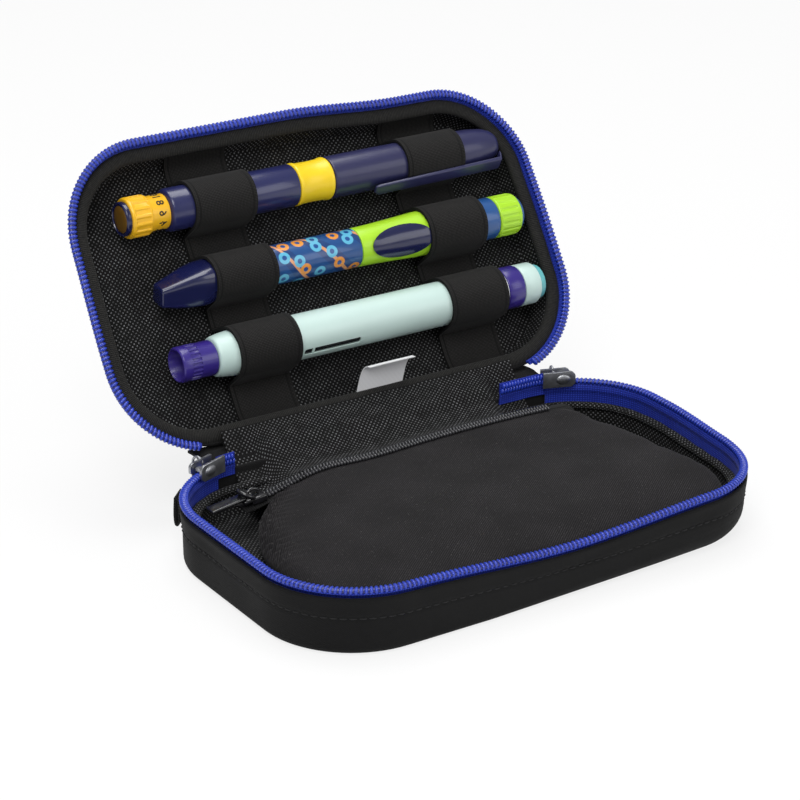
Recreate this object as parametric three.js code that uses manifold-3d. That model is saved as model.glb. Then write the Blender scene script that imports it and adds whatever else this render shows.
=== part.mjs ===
// Soft zip case for insulin pens: an insulated base tray with a zipped cooling pocket, a lid with two
// elastic bands that hold three pens, and a zip round both rims. Millimetres, +Z up, hinge along X at the
// rear (+Y), origin in the middle of the base's underside. Shown with the lid open.
import * as THREE from 'three';
import { mergeVertices } from 'three/addons/utils/BufferGeometryUtils.js';
import Module from 'manifold-3d';

const wasm = await Module();
wasm.setup();

// Case outline
const CASE_LENGTH = 200;
const CASE_WIDTH = 117;
const CORNER_RADIUS = 36;
const BASE_HEIGHT = 25.5;
const LID_DEPTH = 20.1;
const LID_OPEN_DEG = 122.5;
const HINGE_OUT = 2.2;
const CLEARANCE = 0.3;
const CORNER_STEPS = 6;

// Walls of the base and the lid
const BASE_SHELL = 1.5;
const BASE_FOAM = 3;
const LINING = 0.8;
const BASE_FILLET = 8;
const BASE_TAPER = 1;
const LID_SHELL = 1.2;
const LID_FOAM = 2.5;
const LID_FILLET = 12;
const LID_LEAN_DEG = 24;
const LINING_FILLET = 4;

// Main zip and bound seams
const COIL_WIDTH = 2.4;
const COIL_HEIGHT = 2.2;
const COIL_SETBACK = 0.9;
const COIL_INSET = 1;
const TAPE_THICKNESS = 0.5;
const TAPE_REACH = 8;
const SHELL_SETBACK = 1;
const BINDING_WIDTH = 4.4;
const BINDING_HEIGHT = 3.2;
const ZIP_START_DEG = 121;
const SLIDER_PARK_DEG = 110;

// Sliders and pulls
const SLIDER_LENGTH = 11;
const SLIDER_HEIGHT = 6.4;
const SLIDER_PLATE = 1.2;
const SLIDER_PLAY = 0.8;
const SLIDER_WEB = 1.1;
const ARCH_BAR = 1.2;
const PULL_WIRE = 1.1;
const PULL_RING = 1.9;
const PULL_LENGTH = 20;
const PULL_WIDTH = 5;
const PULL_THICKNESS = 1.4;
const PULL_EYE = 1.4;

// Cooling pocket in the base
const POCKET_SIDE_GAP = 16;
const POCKET_FRONT_GAP = 8.5;
const POCKET_CORNER = 22;
const POCKET_EDGE = 2.2;
const POCKET_COVER = 1.2;
const POCKET_DROP = 4.9;
const POCKET_CROWN = 4.6;
const POCKET_TOP_HALF = 7.3;
const GATHER_LENGTH = 30;
const GATHER_PITCH = 12;
const GATHER_DEPTH = 0.5;
const POCKET_ZIP_FROM_REAR = 19.5;
const POCKET_TAPE_WIDTH = 4;
const POCKET_COIL_WIDTH = 3;
const POCKET_COIL_HEIGHT = 1.3;
const POCKET_ZIP_LENGTH = 124;
const POCKET_ZIP_RISE = 1.7;
const POCKET_ZIP_TOP_AT = 30;
const POCKET_ZIP_SAG = 7;
const POCKET_SLIDER_LENGTH = 9;
const POCKET_PULL_TO_RIM = 0.9;
const POCKET_ARCH_LENGTH = 7.2;
const GEL_SIDE_GAP = 3;
const GEL_FOOT = 3.5;

// Fabric hinge and small sewn pieces
const HINGE_LENGTH = 120;
const HINGE_LINING_LENGTH = 98;
const SPINE_THICKNESS = 1;
const SPINE_REACH = 12;
const SPINE_EDGE = 0.25;
const ZIP_END_LENGTH = 17;
const ZIP_END_WIDTH = 6.6;
const LOOP_WIDTH = 8;
const LOOP_HEIGHT = 11;
const LOOP_CLOTH = 0.7;
const LOOP_TURN_DEG = 45;
const HINGE_LINING_DIP = 2.6;
const LABEL_WIDTH = 20;
const LABEL_OFFSET = 6;
const LABEL_THICKNESS = 0.4;
const LABEL_REACH = 7;
const LABEL_RISE = 8;
const LABEL_CURL_DEG = 75;

// Elastic bands
const STRAP_WIDTH = 25.5;
const STRAP_THICKNESS = 1.2;
const STRAP_SEW_REACH = 3.2;
const STRAP_END_GAP = 1;
const LEFT_STRAP_FROM_END = 63.8;
const RIGHT_STRAP_FROM_END = 44.2;

// Pens: places in the lid
const UPPER_PEN_FROM_FRONT = 27.5;
const LOWER_PEN_FROM_HINGE = 35.6;
const UPPER_PEN_LEFT_GAP = 24.2;
const UPPER_PEN_RIGHT_GAP = 12;
const MIDDLE_PEN_LEFT_GAP = 30;
const MIDDLE_PEN_RIGHT_GAP = 11.6;
const LOWER_PEN_LEFT_GAP = 29.2;
const LOWER_PEN_RIGHT_GAP = 11.6;
const PEN_SIDES = 20;
const BUTTON_TRAVEL = 2;
const PEN_WALL = 1.5;
const CARTRIDGE_GLASS_GAP = 0.3;

// Upper pen: dial, barrel, band and clip cap
const UPPER_RADIUS = 8;
const UPPER_BUTTON_RADIUS = 6.3;
const UPPER_BUTTON_PROUD = 2.1;
const UPPER_KNOB_RADIUS = 7.6;
const UPPER_KNOB_LENGTH = 8.5;
const UPPER_SLEEVE_RADIUS = 6.5;
const UPPER_SLEEVE_LENGTH = 7.2;
const UPPER_BARREL_LENGTH = 53.5;
const UPPER_BAND_LENGTH = 15;
const UPPER_HOLDER_RADIUS = 6.1;
const UPPER_HOLDER_LENGTH = 62;
const UPPER_TIP_LENGTH = 20;
const CLIP_LENGTH = 57;
const CLIP_WIDTH = 4.4;
const CLIP_THICKNESS = 1.6;
const CLIP_TURN_DEG = 44;

// Middle pen: wedge nose cap, body, flared sleeve, collar and dial
const MIDDLE_RADIUS = 7.4;
const MIDDLE_NOSE_LENGTH = 25;
const MIDDLE_SLEEVE_LENGTH = 44;
const MIDDLE_COLLAR_LENGTH = 17.8;
const MIDDLE_FLARE_RADIUS = 8.7;
const MIDDLE_COLLAR_RADIUS = 8.1;
const MIDDLE_KNOB_LENGTH = 10.5;
const MIDDLE_BUTTON_RADIUS = 6.5;
const MIDDLE_BUTTON_PROUD = 1.6;
const MIDDLE_HOLDER_RADIUS = 4.2;
const BADGE_LENGTH = 20;
const BADGE_WIDTH = 9;
const BADGE_THICKNESS = 0.5;

// Lower pen: base cap, barrel with window, ring, dial and button
const LOWER_RADIUS = 8.5;
const LOWER_CAP_RADIUS = 6.3;
const LOWER_CAP_LENGTH = 14.4;
const LOWER_SHOULDER = 9;
const LOWER_DRIVE_LENGTH = 50;
const WINDOW_LENGTH = 25;
const WINDOW_WIDTH = 3.4;
const WINDOW_DEPTH = 1.4;
const WINDOW_FROM_STRAP = 1.5;
const WINDOW_TURN_DEG = 42;
const LOWER_RING_LENGTH = 1;
const LOWER_DIAL_LENGTH = 7.3;
const LOWER_DIAL_RADIUS = 8.2;
const LOWER_END_LENGTH = 7.5;
const LOWER_BUTTON_RADIUS = 6.9;
const LOWER_BUTTON_PROUD = 3;

// Colours
const BLACK_CLOTH = '#17171a';
const LINING_CLOTH = '#202024';
const FOAM_GREY = '#77787c';
const ZIP_BLUE = '#2432b4';
const GUNMETAL = '#4c4d52';
const NAVY = '#20224f';
const YELLOW = '#f2c510';
const LIME = '#8fd21f';
const PATTERN_BLUE = '#27508f';
const DEEP_NAVY = '#15183a';
const MINT = '#cfe2dc';
const PURPLE = '#3a1c86';
const TEAL = '#4fa3a8';
const LABEL_WHITE = '#ecebe6';
const CLEAR_PLASTIC = '#c9d2d6';

const TURN = Math.PI / 180;

// Solid from any geometry: one closed skin with its faces outward
function toManifold(geometry) {
  const bare = new THREE.BufferGeometry();
  bare.setAttribute('position', geometry.attributes.position.clone());
  if (geometry.index) {
    bare.setIndex(geometry.index.clone());
  }
  const merged = mergeVertices(bare, 1e-4);
  const points = merged.attributes.position.array;
  const corners = merged.index.array;
  const triangles = [];
  let volume = 0;
  for (let i = 0; i < corners.length; i += 3) {
    const [a, b, c] = [corners[i], corners[i + 1], corners[i + 2]];
    if (a === b || b === c || c === a) {
      continue;
    }
    triangles.push(a, b, c);
    const p = new THREE.Vector3().fromArray(points, a * 3);
    const q = new THREE.Vector3().fromArray(points, b * 3);
    const r = new THREE.Vector3().fromArray(points, c * 3);
    volume += p.dot(q.cross(r));
  }
  if (volume < 0) {
    triangles.reverse();
  }
  return new wasm.Manifold(new wasm.Mesh({
    numProp: 3,
    vertProperties: new Float32Array(points),
    triVerts: new Uint32Array(triangles),
  }));
}

function fromManifold(body) {
  const mesh = body.getMesh();
  const geometry = new THREE.BufferGeometry();
  geometry.setAttribute('position', new THREE.BufferAttribute(new Float32Array(mesh.vertProperties), 3));
  geometry.setIndex(new THREE.BufferAttribute(new Uint32Array(mesh.triVerts), 1));
  return geometry;
}

function join(...geometries) {
  return fromManifold(geometries.map(toManifold).reduce((a, b) => a.add(b)));
}

function cut(geometry, ...tools) {
  return fromManifold(tools.map(toManifold).reduce((a, b) => a.subtract(b), toManifold(geometry)));
}

function common(a, b) {
  return fromManifold(toManifold(a).intersect(toManifold(b)));
}

// Skin through a row of rings with equal numbers of points; a closed row meets itself, an open one is capped
function loft(rings, closed = false) {
  const count = rings[0].length;
  const index = [];
  const last = closed ? rings.length : rings.length - 1;
  for (let r = 0; r < last; r += 1) {
    const here = r * count;
    const next = ((r + 1) % rings.length) * count;
    for (let i = 0; i < count; i += 1) {
      const j = (i + 1) % count;
      index.push(here + i, here + j, next + j, here + i, next + j, next + i);
    }
  }
  const points = rings.flat();
  if (!closed) {
    const end = (rings.length - 1) * count;
    const middles = [rings[0], rings[rings.length - 1]].map((ring) => {
      return ring.reduce((sum, p) => sum.add(p), new THREE.Vector3()).divideScalar(count);
    });
    for (let i = 0; i < count; i += 1) {
      const j = (i + 1) % count;
      index.push(points.length, j, i, points.length + 1, end + i, end + j);
    }
    points.push(...middles);
  }
  const geometry = new THREE.BufferGeometry();
  const positions = points.flatMap((p) => [p.x, p.y, p.z]);
  geometry.setAttribute('position', new THREE.Float32BufferAttribute(positions, 3));
  geometry.setIndex(index);
  return geometry;
}

// Ring of a rounded rectangle, counter-clockwise; height is a number or a rule of x and y
function roundedRing(halfX, halfY, radius, height, sideSteps = 1, steps = CORNER_STEPS) {
  const points = [];
  for (let k = 0; k < 4; k += 1) {
    const signX = k === 0 || k === 3 ? 1 : -1;
    const signY = k < 2 ? 1 : -1;
    const arc = [];
    for (let i = 0; i <= steps; i += 1) {
      const angle = (k + i / steps) * 90 * TURN;
      const x = signX * (halfX - radius) + radius * Math.cos(angle);
      const y = signY * (halfY - radius) + radius * Math.sin(angle);
      arc.push([x, y]);
    }
    points.push(...arc);
    const nextX = (k === 0 || k === 1 ? -1 : 1) * (halfX - (k % 2 === 0 ? radius : 0));
    const nextY = (k === 1 || k === 2 ? -1 : 1) * (halfY - (k % 2 === 0 ? 0 : radius));
    const [lastX, lastY] = arc[arc.length - 1];
    for (let s = 1; s < sideSteps; s += 1) {
      points.push([lastX + (nextX - lastX) * s / sideSteps, lastY + (nextY - lastY) * s / sideSteps]);
    }
  }
  const rise = typeof height === 'function' ? height : () => height;
  return points.map(([x, y]) => new THREE.Vector3(x, y, rise(x, y)));
}

// Ring of the case outline moved inward
function caseRing(inset, height) {
  const radius = CORNER_RADIUS - inset;
  return roundedRing(CASE_LENGTH / 2 - inset, CASE_WIDTH / 2 - inset, radius, height);
}

// Tray or band all round the case from points of its section, each as inset and height
function roundCase(section, closed) {
  return loft(section.map(([inset, height]) => caseRing(inset, height)), closed);
}

// Band along the zip: round the rim from the left rear corner over the front to the right rear corner
function alongZip(section) {
  const corners = [[-1, 1], [-1, -1], [1, -1], [1, 1]];
  const rings = [];
  corners.forEach(([signX, signY], k) => {
    const from = k === 0 ? ZIP_START_DEG : 90 * (k + 1);
    const to = k === 3 ? 540 - ZIP_START_DEG : 90 * (k + 2);
    const steps = Math.round(CORNER_STEPS * (to - from) / 90);
    for (let i = 0; i <= steps; i += 1) {
      const angle = (from + (to - from) * i / steps) * TURN;
      rings.push(section.map(([inset, height]) => new THREE.Vector3(
        signX * (CASE_LENGTH / 2 - CORNER_RADIUS) + (CORNER_RADIUS - inset) * Math.cos(angle),
        signY * (CASE_WIDTH / 2 - CORNER_RADIUS) + (CORNER_RADIUS - inset) * Math.sin(angle),
        height,
      )));
    }
  });
  return loft(rings);
}

// Section points of an oval with flat facets
function ovalSection(middleA, middleB, width, height, sides) {
  return Array.from({ length: sides }, (_, i) => {
    const angle = (i + 0.5) * 2 * Math.PI / sides;
    const reach = 1 / Math.cos(Math.PI / sides);
    return [middleA + width / 2 * reach * Math.cos(angle), middleB + height / 2 * reach * Math.sin(angle)];
  });
}

// Bar along X with its section given in Y and Z
function prism(section, fromX, toX) {
  const shape = new THREE.Shape(section.map(([y, z]) => new THREE.Vector2(y, z)));
  const geometry = new THREE.ExtrudeGeometry(shape, { depth: toX - fromX, bevelEnabled: false });
  geometry.translate(0, 0, fromX);
  const axes = new THREE.Matrix4().makeBasis(
    new THREE.Vector3(0, 1, 0),
    new THREE.Vector3(0, 0, 1),
    new THREE.Vector3(1, 0, 0),
  );
  return geometry.applyMatrix4(axes);
}

function box(fromX, toX, fromY, toY, fromZ, toZ) {
  const geometry = new THREE.BoxGeometry(toX - fromX, toY - fromY, toZ - fromZ);
  return geometry.translate((fromX + toX) / 2, (fromY + toY) / 2, (fromZ + toZ) / 2);
}

// Turned piece about the X axis; the profile is given as place on the axis and radius
function turned(profile, sides = PEN_SIDES) {
  const geometry = new THREE.LatheGeometry(profile.map(([x, r]) => new THREE.Vector2(r, x)), sides);
  return geometry.rotateZ(-Math.PI / 2);
}

function rod(fromX, toX, radius, sides = PEN_SIDES) {
  return turned([[fromX, 0], [fromX, radius], [toX, radius], [toX, 0]], sides);
}

// Grip with shallow flutes round it
function flutedGrip(fromX, toX, radius, fluteDepth, flutes) {
  const section = [];
  for (let i = 0; i < flutes; i += 1) {
    const levels = [[0, radius], [0.6, radius], [0.7, radius - fluteDepth], [0.9, radius - fluteDepth]];
    levels.forEach(([share, level]) => {
      const angle = (i + share) * 2 * Math.PI / flutes;
      section.push([level * Math.cos(angle), level * Math.sin(angle)]);
    });
  }
  return prism(section, fromX, toX);
}

function roundedSection(width, height, radius, steps = 3) {
  return roundedRing(width / 2, height / 2, radius, 0, 1, steps).map((p) => [p.x, p.y]);
}

function piece(parent, name, geometry, color, roughness, metalness = 0) {
  const material = new THREE.MeshStandardMaterial({ color, roughness, metalness });
  const mesh = new THREE.Mesh(fromManifold(toManifold(geometry)), material);
  mesh.name = name;
  parent.add(mesh);
  return mesh;
}

const group = new THREE.Group();
group.name = 'insulin_case';
const cornerX = CASE_LENGTH / 2 - CORNER_RADIUS;
const cornerY = CASE_WIDTH / 2 - CORNER_RADIUS;

// Base tray: shell, foam and lining are one form at growing distances from the outside
const shellTop = BASE_HEIGHT - COIL_SETBACK - COIL_HEIGHT - CLEARANCE - SHELL_SETBACK;
const tapeTop = BASE_HEIGHT - COIL_SETBACK - COIL_HEIGHT - CLEARANCE;
const tapeBottom = tapeTop - TAPE_REACH;
const stackTop = tapeBottom - CLEARANCE;

function baseWall(depth, top) {
  const points = [];
  const arcSteps = 4;
  for (let i = 0; i <= arcSteps; i += 1) {
    const angle = i / arcSteps * 90 * TURN;
    const reach = BASE_FILLET - depth;
    points.push([BASE_TAPER + BASE_FILLET - reach * Math.sin(angle), BASE_FILLET - reach * Math.cos(angle)]);
  }
  const lean = BASE_TAPER * (shellTop - top) / (shellTop - BASE_FILLET);
  points.push([lean + depth, top]);
  return points;
}

function baseLayer(outer, inner, top) {
  return roundCase([...baseWall(outer, top), ...baseWall(inner, top).reverse()], false);
}

const foamOut = BASE_SHELL + CLEARANCE;
const foamIn = foamOut + BASE_FOAM;
const liningOut = foamIn + CLEARANCE;
const baseFloor = liningOut + LINING;
piece(group, 'base_shell', baseLayer(0, BASE_SHELL, shellTop), BLACK_CLOTH, 0.85);
piece(group, 'base_foam', baseLayer(foamOut, foamIn, stackTop), FOAM_GREY, 0.95);
piece(group, 'base_lining', baseLayer(liningOut, baseFloor, stackTop), LINING_CLOTH, 0.9);

const coilMiddle = COIL_INSET + COIL_WIDTH / 2;
const baseTapeOut = BASE_SHELL + CLEARANCE + BASE_TAPER * (shellTop - tapeBottom) / (shellTop - BASE_FILLET);
const baseTapeIn = baseTapeOut + TAPE_THICKNESS;
const baseCoilZ = BASE_HEIGHT - COIL_SETBACK - COIL_HEIGHT / 2;
const baseTape = [
  [baseTapeOut, tapeBottom],
  [baseTapeIn, tapeBottom],
  [baseTapeIn, tapeTop],
  [baseTapeOut, tapeTop],
];
piece(group, 'base_zip_tape', alongZip(baseTape), ZIP_BLUE, 0.7);
const baseCoil = ovalSection(coilMiddle, baseCoilZ, COIL_WIDTH, COIL_HEIGHT, 8);
piece(group, 'base_zip_coil', alongZip(baseCoil), ZIP_BLUE, 0.45);

const baseBindingInset = baseTapeIn + CLEARANCE + BINDING_WIDTH / 2;
const baseBindingZ = tapeBottom + BINDING_HEIGHT / 2;
const baseBinding = ovalSection(baseBindingInset, baseBindingZ, BINDING_WIDTH, BINDING_HEIGHT, 8);
piece(group, 'base_binding', roundCase(baseBinding, true), BLACK_CLOTH, 0.9);

// Cooling pocket: gel pack under a padded cover whose rear edge carries the pocket zip
const zipY = CASE_WIDTH / 2 - POCKET_ZIP_FROM_REAR;
const pocketRear = zipY - POCKET_TAPE_WIDTH - CLEARANCE / 2 - CLEARANCE;
const pocketFront = -CASE_WIDTH / 2 + POCKET_FRONT_GAP;
const pocketHalfX = CASE_LENGTH / 2 - POCKET_SIDE_GAP;
const pocketHalfY = (pocketRear - pocketFront) / 2;
const pocketMiddleY = (pocketRear + pocketFront) / 2;
const pocketTop = BASE_HEIGHT - POCKET_DROP;
const pocketEdgeTop = pocketTop - POCKET_CROWN;
const pocketBottom = baseFloor + CLEARANCE;
const gathersFrom = pocketHalfX - GATHER_LENGTH;

function pocketRise(x, y) {
  const endFall = Math.min(1, Math.abs(x) / pocketHalfX) ** 3;
  const frontFall = Math.min(1, Math.max(0, -y / pocketHalfY)) ** 3;
  const gather = Math.max(0, (-x - gathersFrom) / (pocketHalfX - gathersFrom));
  const pucker = -GATHER_DEPTH * gather * (1 - Math.cos(2 * Math.PI * y / GATHER_PITCH)) / 2;
  return pocketEdgeTop + POCKET_CROWN * (1 - endFall) * (1 - frontFall) + pucker;
}

// Dome that follows the crown of the pocket: its outline is drawn in and its top lowered by the given amounts
function pocketDome(inset, lowered, foot, footInset) {
  const crownSteps = 5;
  const edgeInset = inset + POCKET_EDGE / 2;
  const topInset = pocketHalfY - POCKET_TOP_HALF;
  const wallTop = pocketEdgeTop - lowered - POCKET_EDGE / 2;
  const rings = [[footInset, foot], [inset, wallTop]].map(([drawnIn, height]) => {
    return roundedRing(pocketHalfX - drawnIn, pocketHalfY - drawnIn, POCKET_CORNER - drawnIn, height, 5);
  });
  for (let i = 0; i <= crownSteps; i += 1) {
    const drawnIn = edgeInset + (topInset - edgeInset) * (i / crownSteps) ** 1.3;
    const radius = Math.max(POCKET_CORNER - drawnIn, POCKET_TOP_HALF / 2);
    const height = (x, y) => pocketRise(x, y) - lowered;
    rings.push(roundedRing(pocketHalfX - drawnIn, pocketHalfY - drawnIn, radius, height, 5));
  }
  return loft(rings);
}

const pocketOutside = pocketDome(0, 0, pocketBottom, POCKET_EDGE);
const pocketInside = pocketDome(POCKET_COVER, POCKET_COVER, pocketBottom - 1, POCKET_EDGE + POCKET_COVER);
const pocketPanel = piece(group, 'pocket_panel', cut(pocketOutside, pocketInside), BLACK_CLOTH, 0.9);
pocketPanel.position.y = pocketMiddleY;

const gelInset = POCKET_COVER + GEL_SIDE_GAP;
const gelPack = pocketDome(gelInset, POCKET_COVER + CLEARANCE, pocketBottom, gelInset + GEL_FOOT);
piece(group, 'gel_pack', gelPack, '#9fc4e6', 0.4).position.y = pocketMiddleY;

const pocketTapeTop = pocketTop - POCKET_COIL_HEIGHT / 2 + POCKET_ZIP_RISE;
const pocketTapeBottom = pocketTapeTop - TAPE_THICKNESS;
const tapeSplit = CLEARANCE / 2;
const zipHalf = POCKET_ZIP_LENGTH / 2 + POCKET_SLIDER_LENGTH;

// Arch of the pocket zip over the pack: it is highest right of the middle and its slider end hangs low
const pocketCoilZ = pocketTapeTop + CLEARANCE + POCKET_COIL_HEIGHT / 2;
const sliderFrom = -POCKET_ZIP_LENGTH / 2 - CLEARANCE - POCKET_SLIDER_LENGTH / 2;
const sliderRun = sliderFrom - POCKET_ZIP_TOP_AT;
const zipArchRadius = (sliderRun ** 2 + POCKET_ZIP_SAG ** 2) / (2 * POCKET_ZIP_SAG);
const zipArchZ = pocketCoilZ - zipArchRadius;

function onZipArch(angle, y, z) {
  const radius = z - zipArchZ;
  const x = POCKET_ZIP_TOP_AT + radius * Math.sin(angle);
  return new THREE.Vector3(x, y, zipArchZ + radius * Math.cos(angle));
}

function archedRun(section, half, steps = 14) {
  return loft(Array.from({ length: steps + 1 }, (_, i) => {
    const angle = (half * (2 * i / steps - 1) - POCKET_ZIP_TOP_AT) / zipArchRadius;
    return section.map(([y, z]) => onZipArch(angle, y, z));
  }));
}

function pocketTape(fromY, toY) {
  return archedRun([
    [fromY, pocketTapeBottom],
    [toY, pocketTapeBottom],
    [toY, pocketTapeTop],
    [fromY, pocketTapeTop],
  ], zipHalf);
}

const frontTapeY = zipY - tapeSplit - POCKET_TAPE_WIDTH;
const rearTapeY = zipY + tapeSplit + POCKET_TAPE_WIDTH;
piece(group, 'pocket_front_tape', pocketTape(frontTapeY, zipY - tapeSplit), BLACK_CLOTH, 0.9);
piece(group, 'pocket_rear_tape', pocketTape(zipY + tapeSplit, rearTapeY), BLACK_CLOTH, 0.9);
const pocketCoil = ovalSection(zipY, pocketCoilZ, POCKET_COIL_WIDTH, POCKET_COIL_HEIGHT, 6);
piece(group, 'pocket_zip_coil', archedRun(pocketCoil, POCKET_ZIP_LENGTH / 2), BLACK_CLOTH, 0.5);

// Pocket slider: a saddle over the coil with an arch, and a flat pull whose eye end lies under the arch
const pocketSlider = new THREE.Group();
pocketSlider.name = 'pocket_slider_place';
const saddleTop = pocketCoilZ + POCKET_COIL_HEIGHT / 2 + CLEARANCE + SLIDER_PLATE;
const sliderAngle = sliderRun / zipArchRadius;
pocketSlider.position.copy(onZipArch(sliderAngle, zipY, saddleTop));
pocketSlider.rotation.y = sliderAngle;
group.add(pocketSlider);

const saddleHalf = POCKET_COIL_WIDTH / 2 + CLEARANCE + SLIDER_PLATE;
const saddleDrop = SLIDER_PLATE + CLEARANCE + POCKET_COIL_HEIGHT;
const saddleInner = saddleHalf - SLIDER_PLATE;
const saddle = prism([
  [-saddleHalf, -saddleDrop],
  [-saddleInner, -saddleDrop],
  [-saddleInner, -SLIDER_PLATE],
  [saddleInner, -SLIDER_PLATE],
  [saddleInner, -saddleDrop],
  [saddleHalf, -saddleDrop],
  [saddleHalf, 0],
  [-saddleHalf, 0],
], -POCKET_SLIDER_LENGTH / 2, POCKET_SLIDER_LENGTH / 2);
const pullAxisZ = CLEARANCE + PULL_THICKNESS / 2;
const archUnder = pullAxisZ + PULL_THICKNESS / 2 + CLEARANCE;
const archHalf = POCKET_ARCH_LENGTH / 2;
const archSection = ARCH_BAR * 0.75;
const pocketArch = join(
  box(-archHalf, -archHalf + ARCH_BAR, -archSection, archSection, -0.2, archUnder + ARCH_BAR),
  box(archHalf - ARCH_BAR, archHalf, -archSection, archSection, -0.2, archUnder + ARCH_BAR),
  box(-archHalf, archHalf, -archSection, archSection, archUnder, archUnder + ARCH_BAR),
);
piece(pocketSlider, 'pocket_slider', join(saddle, pocketArch), '#1b1b1e', 0.35, 0.6);

const eyeHalf = archSection + 2 * CLEARANCE;
const eyeBar = PULL_THICKNESS / 2;
const eyeReach = Math.hypot(archHalf, archUnder + ARCH_BAR - pullAxisZ) + CLEARANCE;
const pullEyeHalf = eyeHalf + ARCH_BAR;
const rimInside = CORNER_RADIUS - baseBindingInset - BINDING_WIDTH / 2;
const rimReach = cornerX + Math.sqrt(rimInside ** 2 - (zipY + PULL_WIDTH / 2 - cornerY) ** 2);
const pocketPullLength = rimReach + sliderFrom - POCKET_PULL_TO_RIM;
const pocketPullOutline = [
  [eyeBar, -pullEyeHalf],
  [eyeBar, pullEyeHalf],
  [-eyeReach - ARCH_BAR, pullEyeHalf],
  [-eyeReach - 2 * ARCH_BAR, PULL_WIDTH / 2],
  [-pocketPullLength + 1, PULL_WIDTH / 2],
  [-pocketPullLength, PULL_WIDTH / 2 - 1],
  [-pocketPullLength, -PULL_WIDTH / 2 + 1],
  [-pocketPullLength + 1, -PULL_WIDTH / 2],
  [-eyeReach - 2 * ARCH_BAR, -PULL_WIDTH / 2],
  [-eyeReach - ARCH_BAR, -pullEyeHalf],
].map(([x, y]) => new THREE.Vector2(x, y));
const pocketPullShape = new THREE.Shape(pocketPullOutline);
const pocketPullDepth = { depth: PULL_THICKNESS, bevelEnabled: false };
const pocketPullPlate = new THREE.ExtrudeGeometry(pocketPullShape, pocketPullDepth);
pocketPullPlate.translate(0, 0, CLEARANCE);
const pocketPullEye = box(-eyeReach, -eyeBar, -eyeHalf, eyeHalf, -PULL_THICKNESS, 3 * PULL_THICKNESS);
piece(pocketSlider, 'pocket_pull', cut(pocketPullPlate, pocketPullEye), '#1b1b1e', 0.4, 0.5);

// Main sliders: two plates either side of the rims joined by a web between the coils, with a ring-hung pull
const outerPlateIn = CORNER_RADIUS - COIL_INSET + SLIDER_PLAY;
const outerPlateOut = outerPlateIn + SLIDER_PLATE;
const innerPlateOut = CORNER_RADIUS - COIL_INSET - COIL_WIDTH - SLIDER_PLAY;
const innerPlateIn = innerPlateOut - SLIDER_PLATE;
const pullAxis = outerPlateOut + PULL_RING + PULL_WIRE / 2 + CLEARANCE;

function upright(width, height, radius, fromY, toY) {
  const outline = roundedSection(width, height, radius);
  const shape = new THREE.Shape(outline.map(([x, y]) => new THREE.Vector2(x, y)));
  const geometry = new THREE.ExtrudeGeometry(shape, { depth: toY - fromY, bevelEnabled: false });
  return geometry.rotateX(Math.PI / 2).translate(0, toY, 0);
}

function mainSlider(side, angleDeg) {
  const place = new THREE.Group();
  place.name = `${side}_slider_place`;
  place.position.set(side === 'left' ? -cornerX : cornerX, cornerY, BASE_HEIGHT);
  place.rotation.z = (angleDeg - 90) * TURN;
  group.add(place);
  const legs = [-1, 1].map((sign) => {
    const middle = sign * (SLIDER_LENGTH / 2 - 2);
    const half = ARCH_BAR / 2;
    return box(middle - half, middle + half, outerPlateOut - 0.2, pullAxis + half, -half, half);
  });
  const thick = ARCH_BAR / 2;
  const barHalf = SLIDER_LENGTH / 2 - 2 + thick;
  const bar = box(-barHalf, barHalf, pullAxis - thick, pullAxis + thick, -thick, thick);
  const webHalf = SLIDER_LENGTH * 0.3;
  const webRise = SLIDER_WEB / 2;
  const web = box(-webHalf, webHalf, innerPlateOut - 0.2, outerPlateIn + 0.2, -webRise, webRise);
  const body = join(
    upright(SLIDER_LENGTH, SLIDER_HEIGHT, 2, outerPlateIn, outerPlateOut),
    upright(SLIDER_LENGTH, SLIDER_HEIGHT, 2, innerPlateIn, innerPlateOut),
    web,
    ...legs,
    bar,
  );
  piece(place, `${side}_slider`, body, GUNMETAL, 0.35, 0.9);

  const ring = new THREE.TorusGeometry(PULL_RING, PULL_WIRE / 2, 6, 12).rotateY(Math.PI / 2);
  const plateTop = -PULL_RING - PULL_WIRE / 4;
  const plate = upright(PULL_WIDTH, PULL_LENGTH, 1.5, -PULL_THICKNESS / 2, PULL_THICKNESS / 2);
  plate.translate(0, 0, plateTop - PULL_LENGTH / 2);
  const eye = new THREE.CylinderGeometry(PULL_EYE, PULL_EYE, PULL_THICKNESS * 2, 10);
  eye.translate(0, 0, plateTop - PULL_LENGTH + PULL_EYE + 1.5);
  const pull = piece(place, `${side}_pull`, cut(join(ring, plate), eye), '#1b1b1e', 0.4, 0.5);
  pull.position.y = pullAxis;
}

mainSlider('left', SLIDER_PARK_DEG);
mainSlider('right', 180 - SLIDER_PARK_DEG);

// Closed ends of the main zip, tucked in flat along the hinge
const zipEndOuter = CASE_WIDTH / 2 - COIL_INSET;
const zipEndInner = zipEndOuter - ZIP_END_WIDTH;
const zipEndZ = tapeTop;
const zipEndSection = [
  [zipEndInner, zipEndZ - TAPE_THICKNESS],
  [zipEndOuter, zipEndZ - TAPE_THICKNESS],
  [zipEndOuter, zipEndZ],
  [(zipEndInner + zipEndOuter) / 2 + COIL_WIDTH / 2, zipEndZ],
  [(zipEndInner + zipEndOuter) / 2 + COIL_WIDTH / 4, zipEndZ + COIL_HEIGHT / 2],
  [(zipEndInner + zipEndOuter) / 2 - COIL_WIDTH / 4, zipEndZ + COIL_HEIGHT / 2],
  [(zipEndInner + zipEndOuter) / 2 - COIL_WIDTH / 2, zipEndZ],
  [zipEndInner, zipEndZ],
];
const zipEndFrom = HINGE_LINING_LENGTH / 2 + 2;
piece(group, 'zip_end_left', prism(zipEndSection, -zipEndFrom - ZIP_END_LENGTH, -zipEndFrom), ZIP_BLUE, 0.6);
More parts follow.
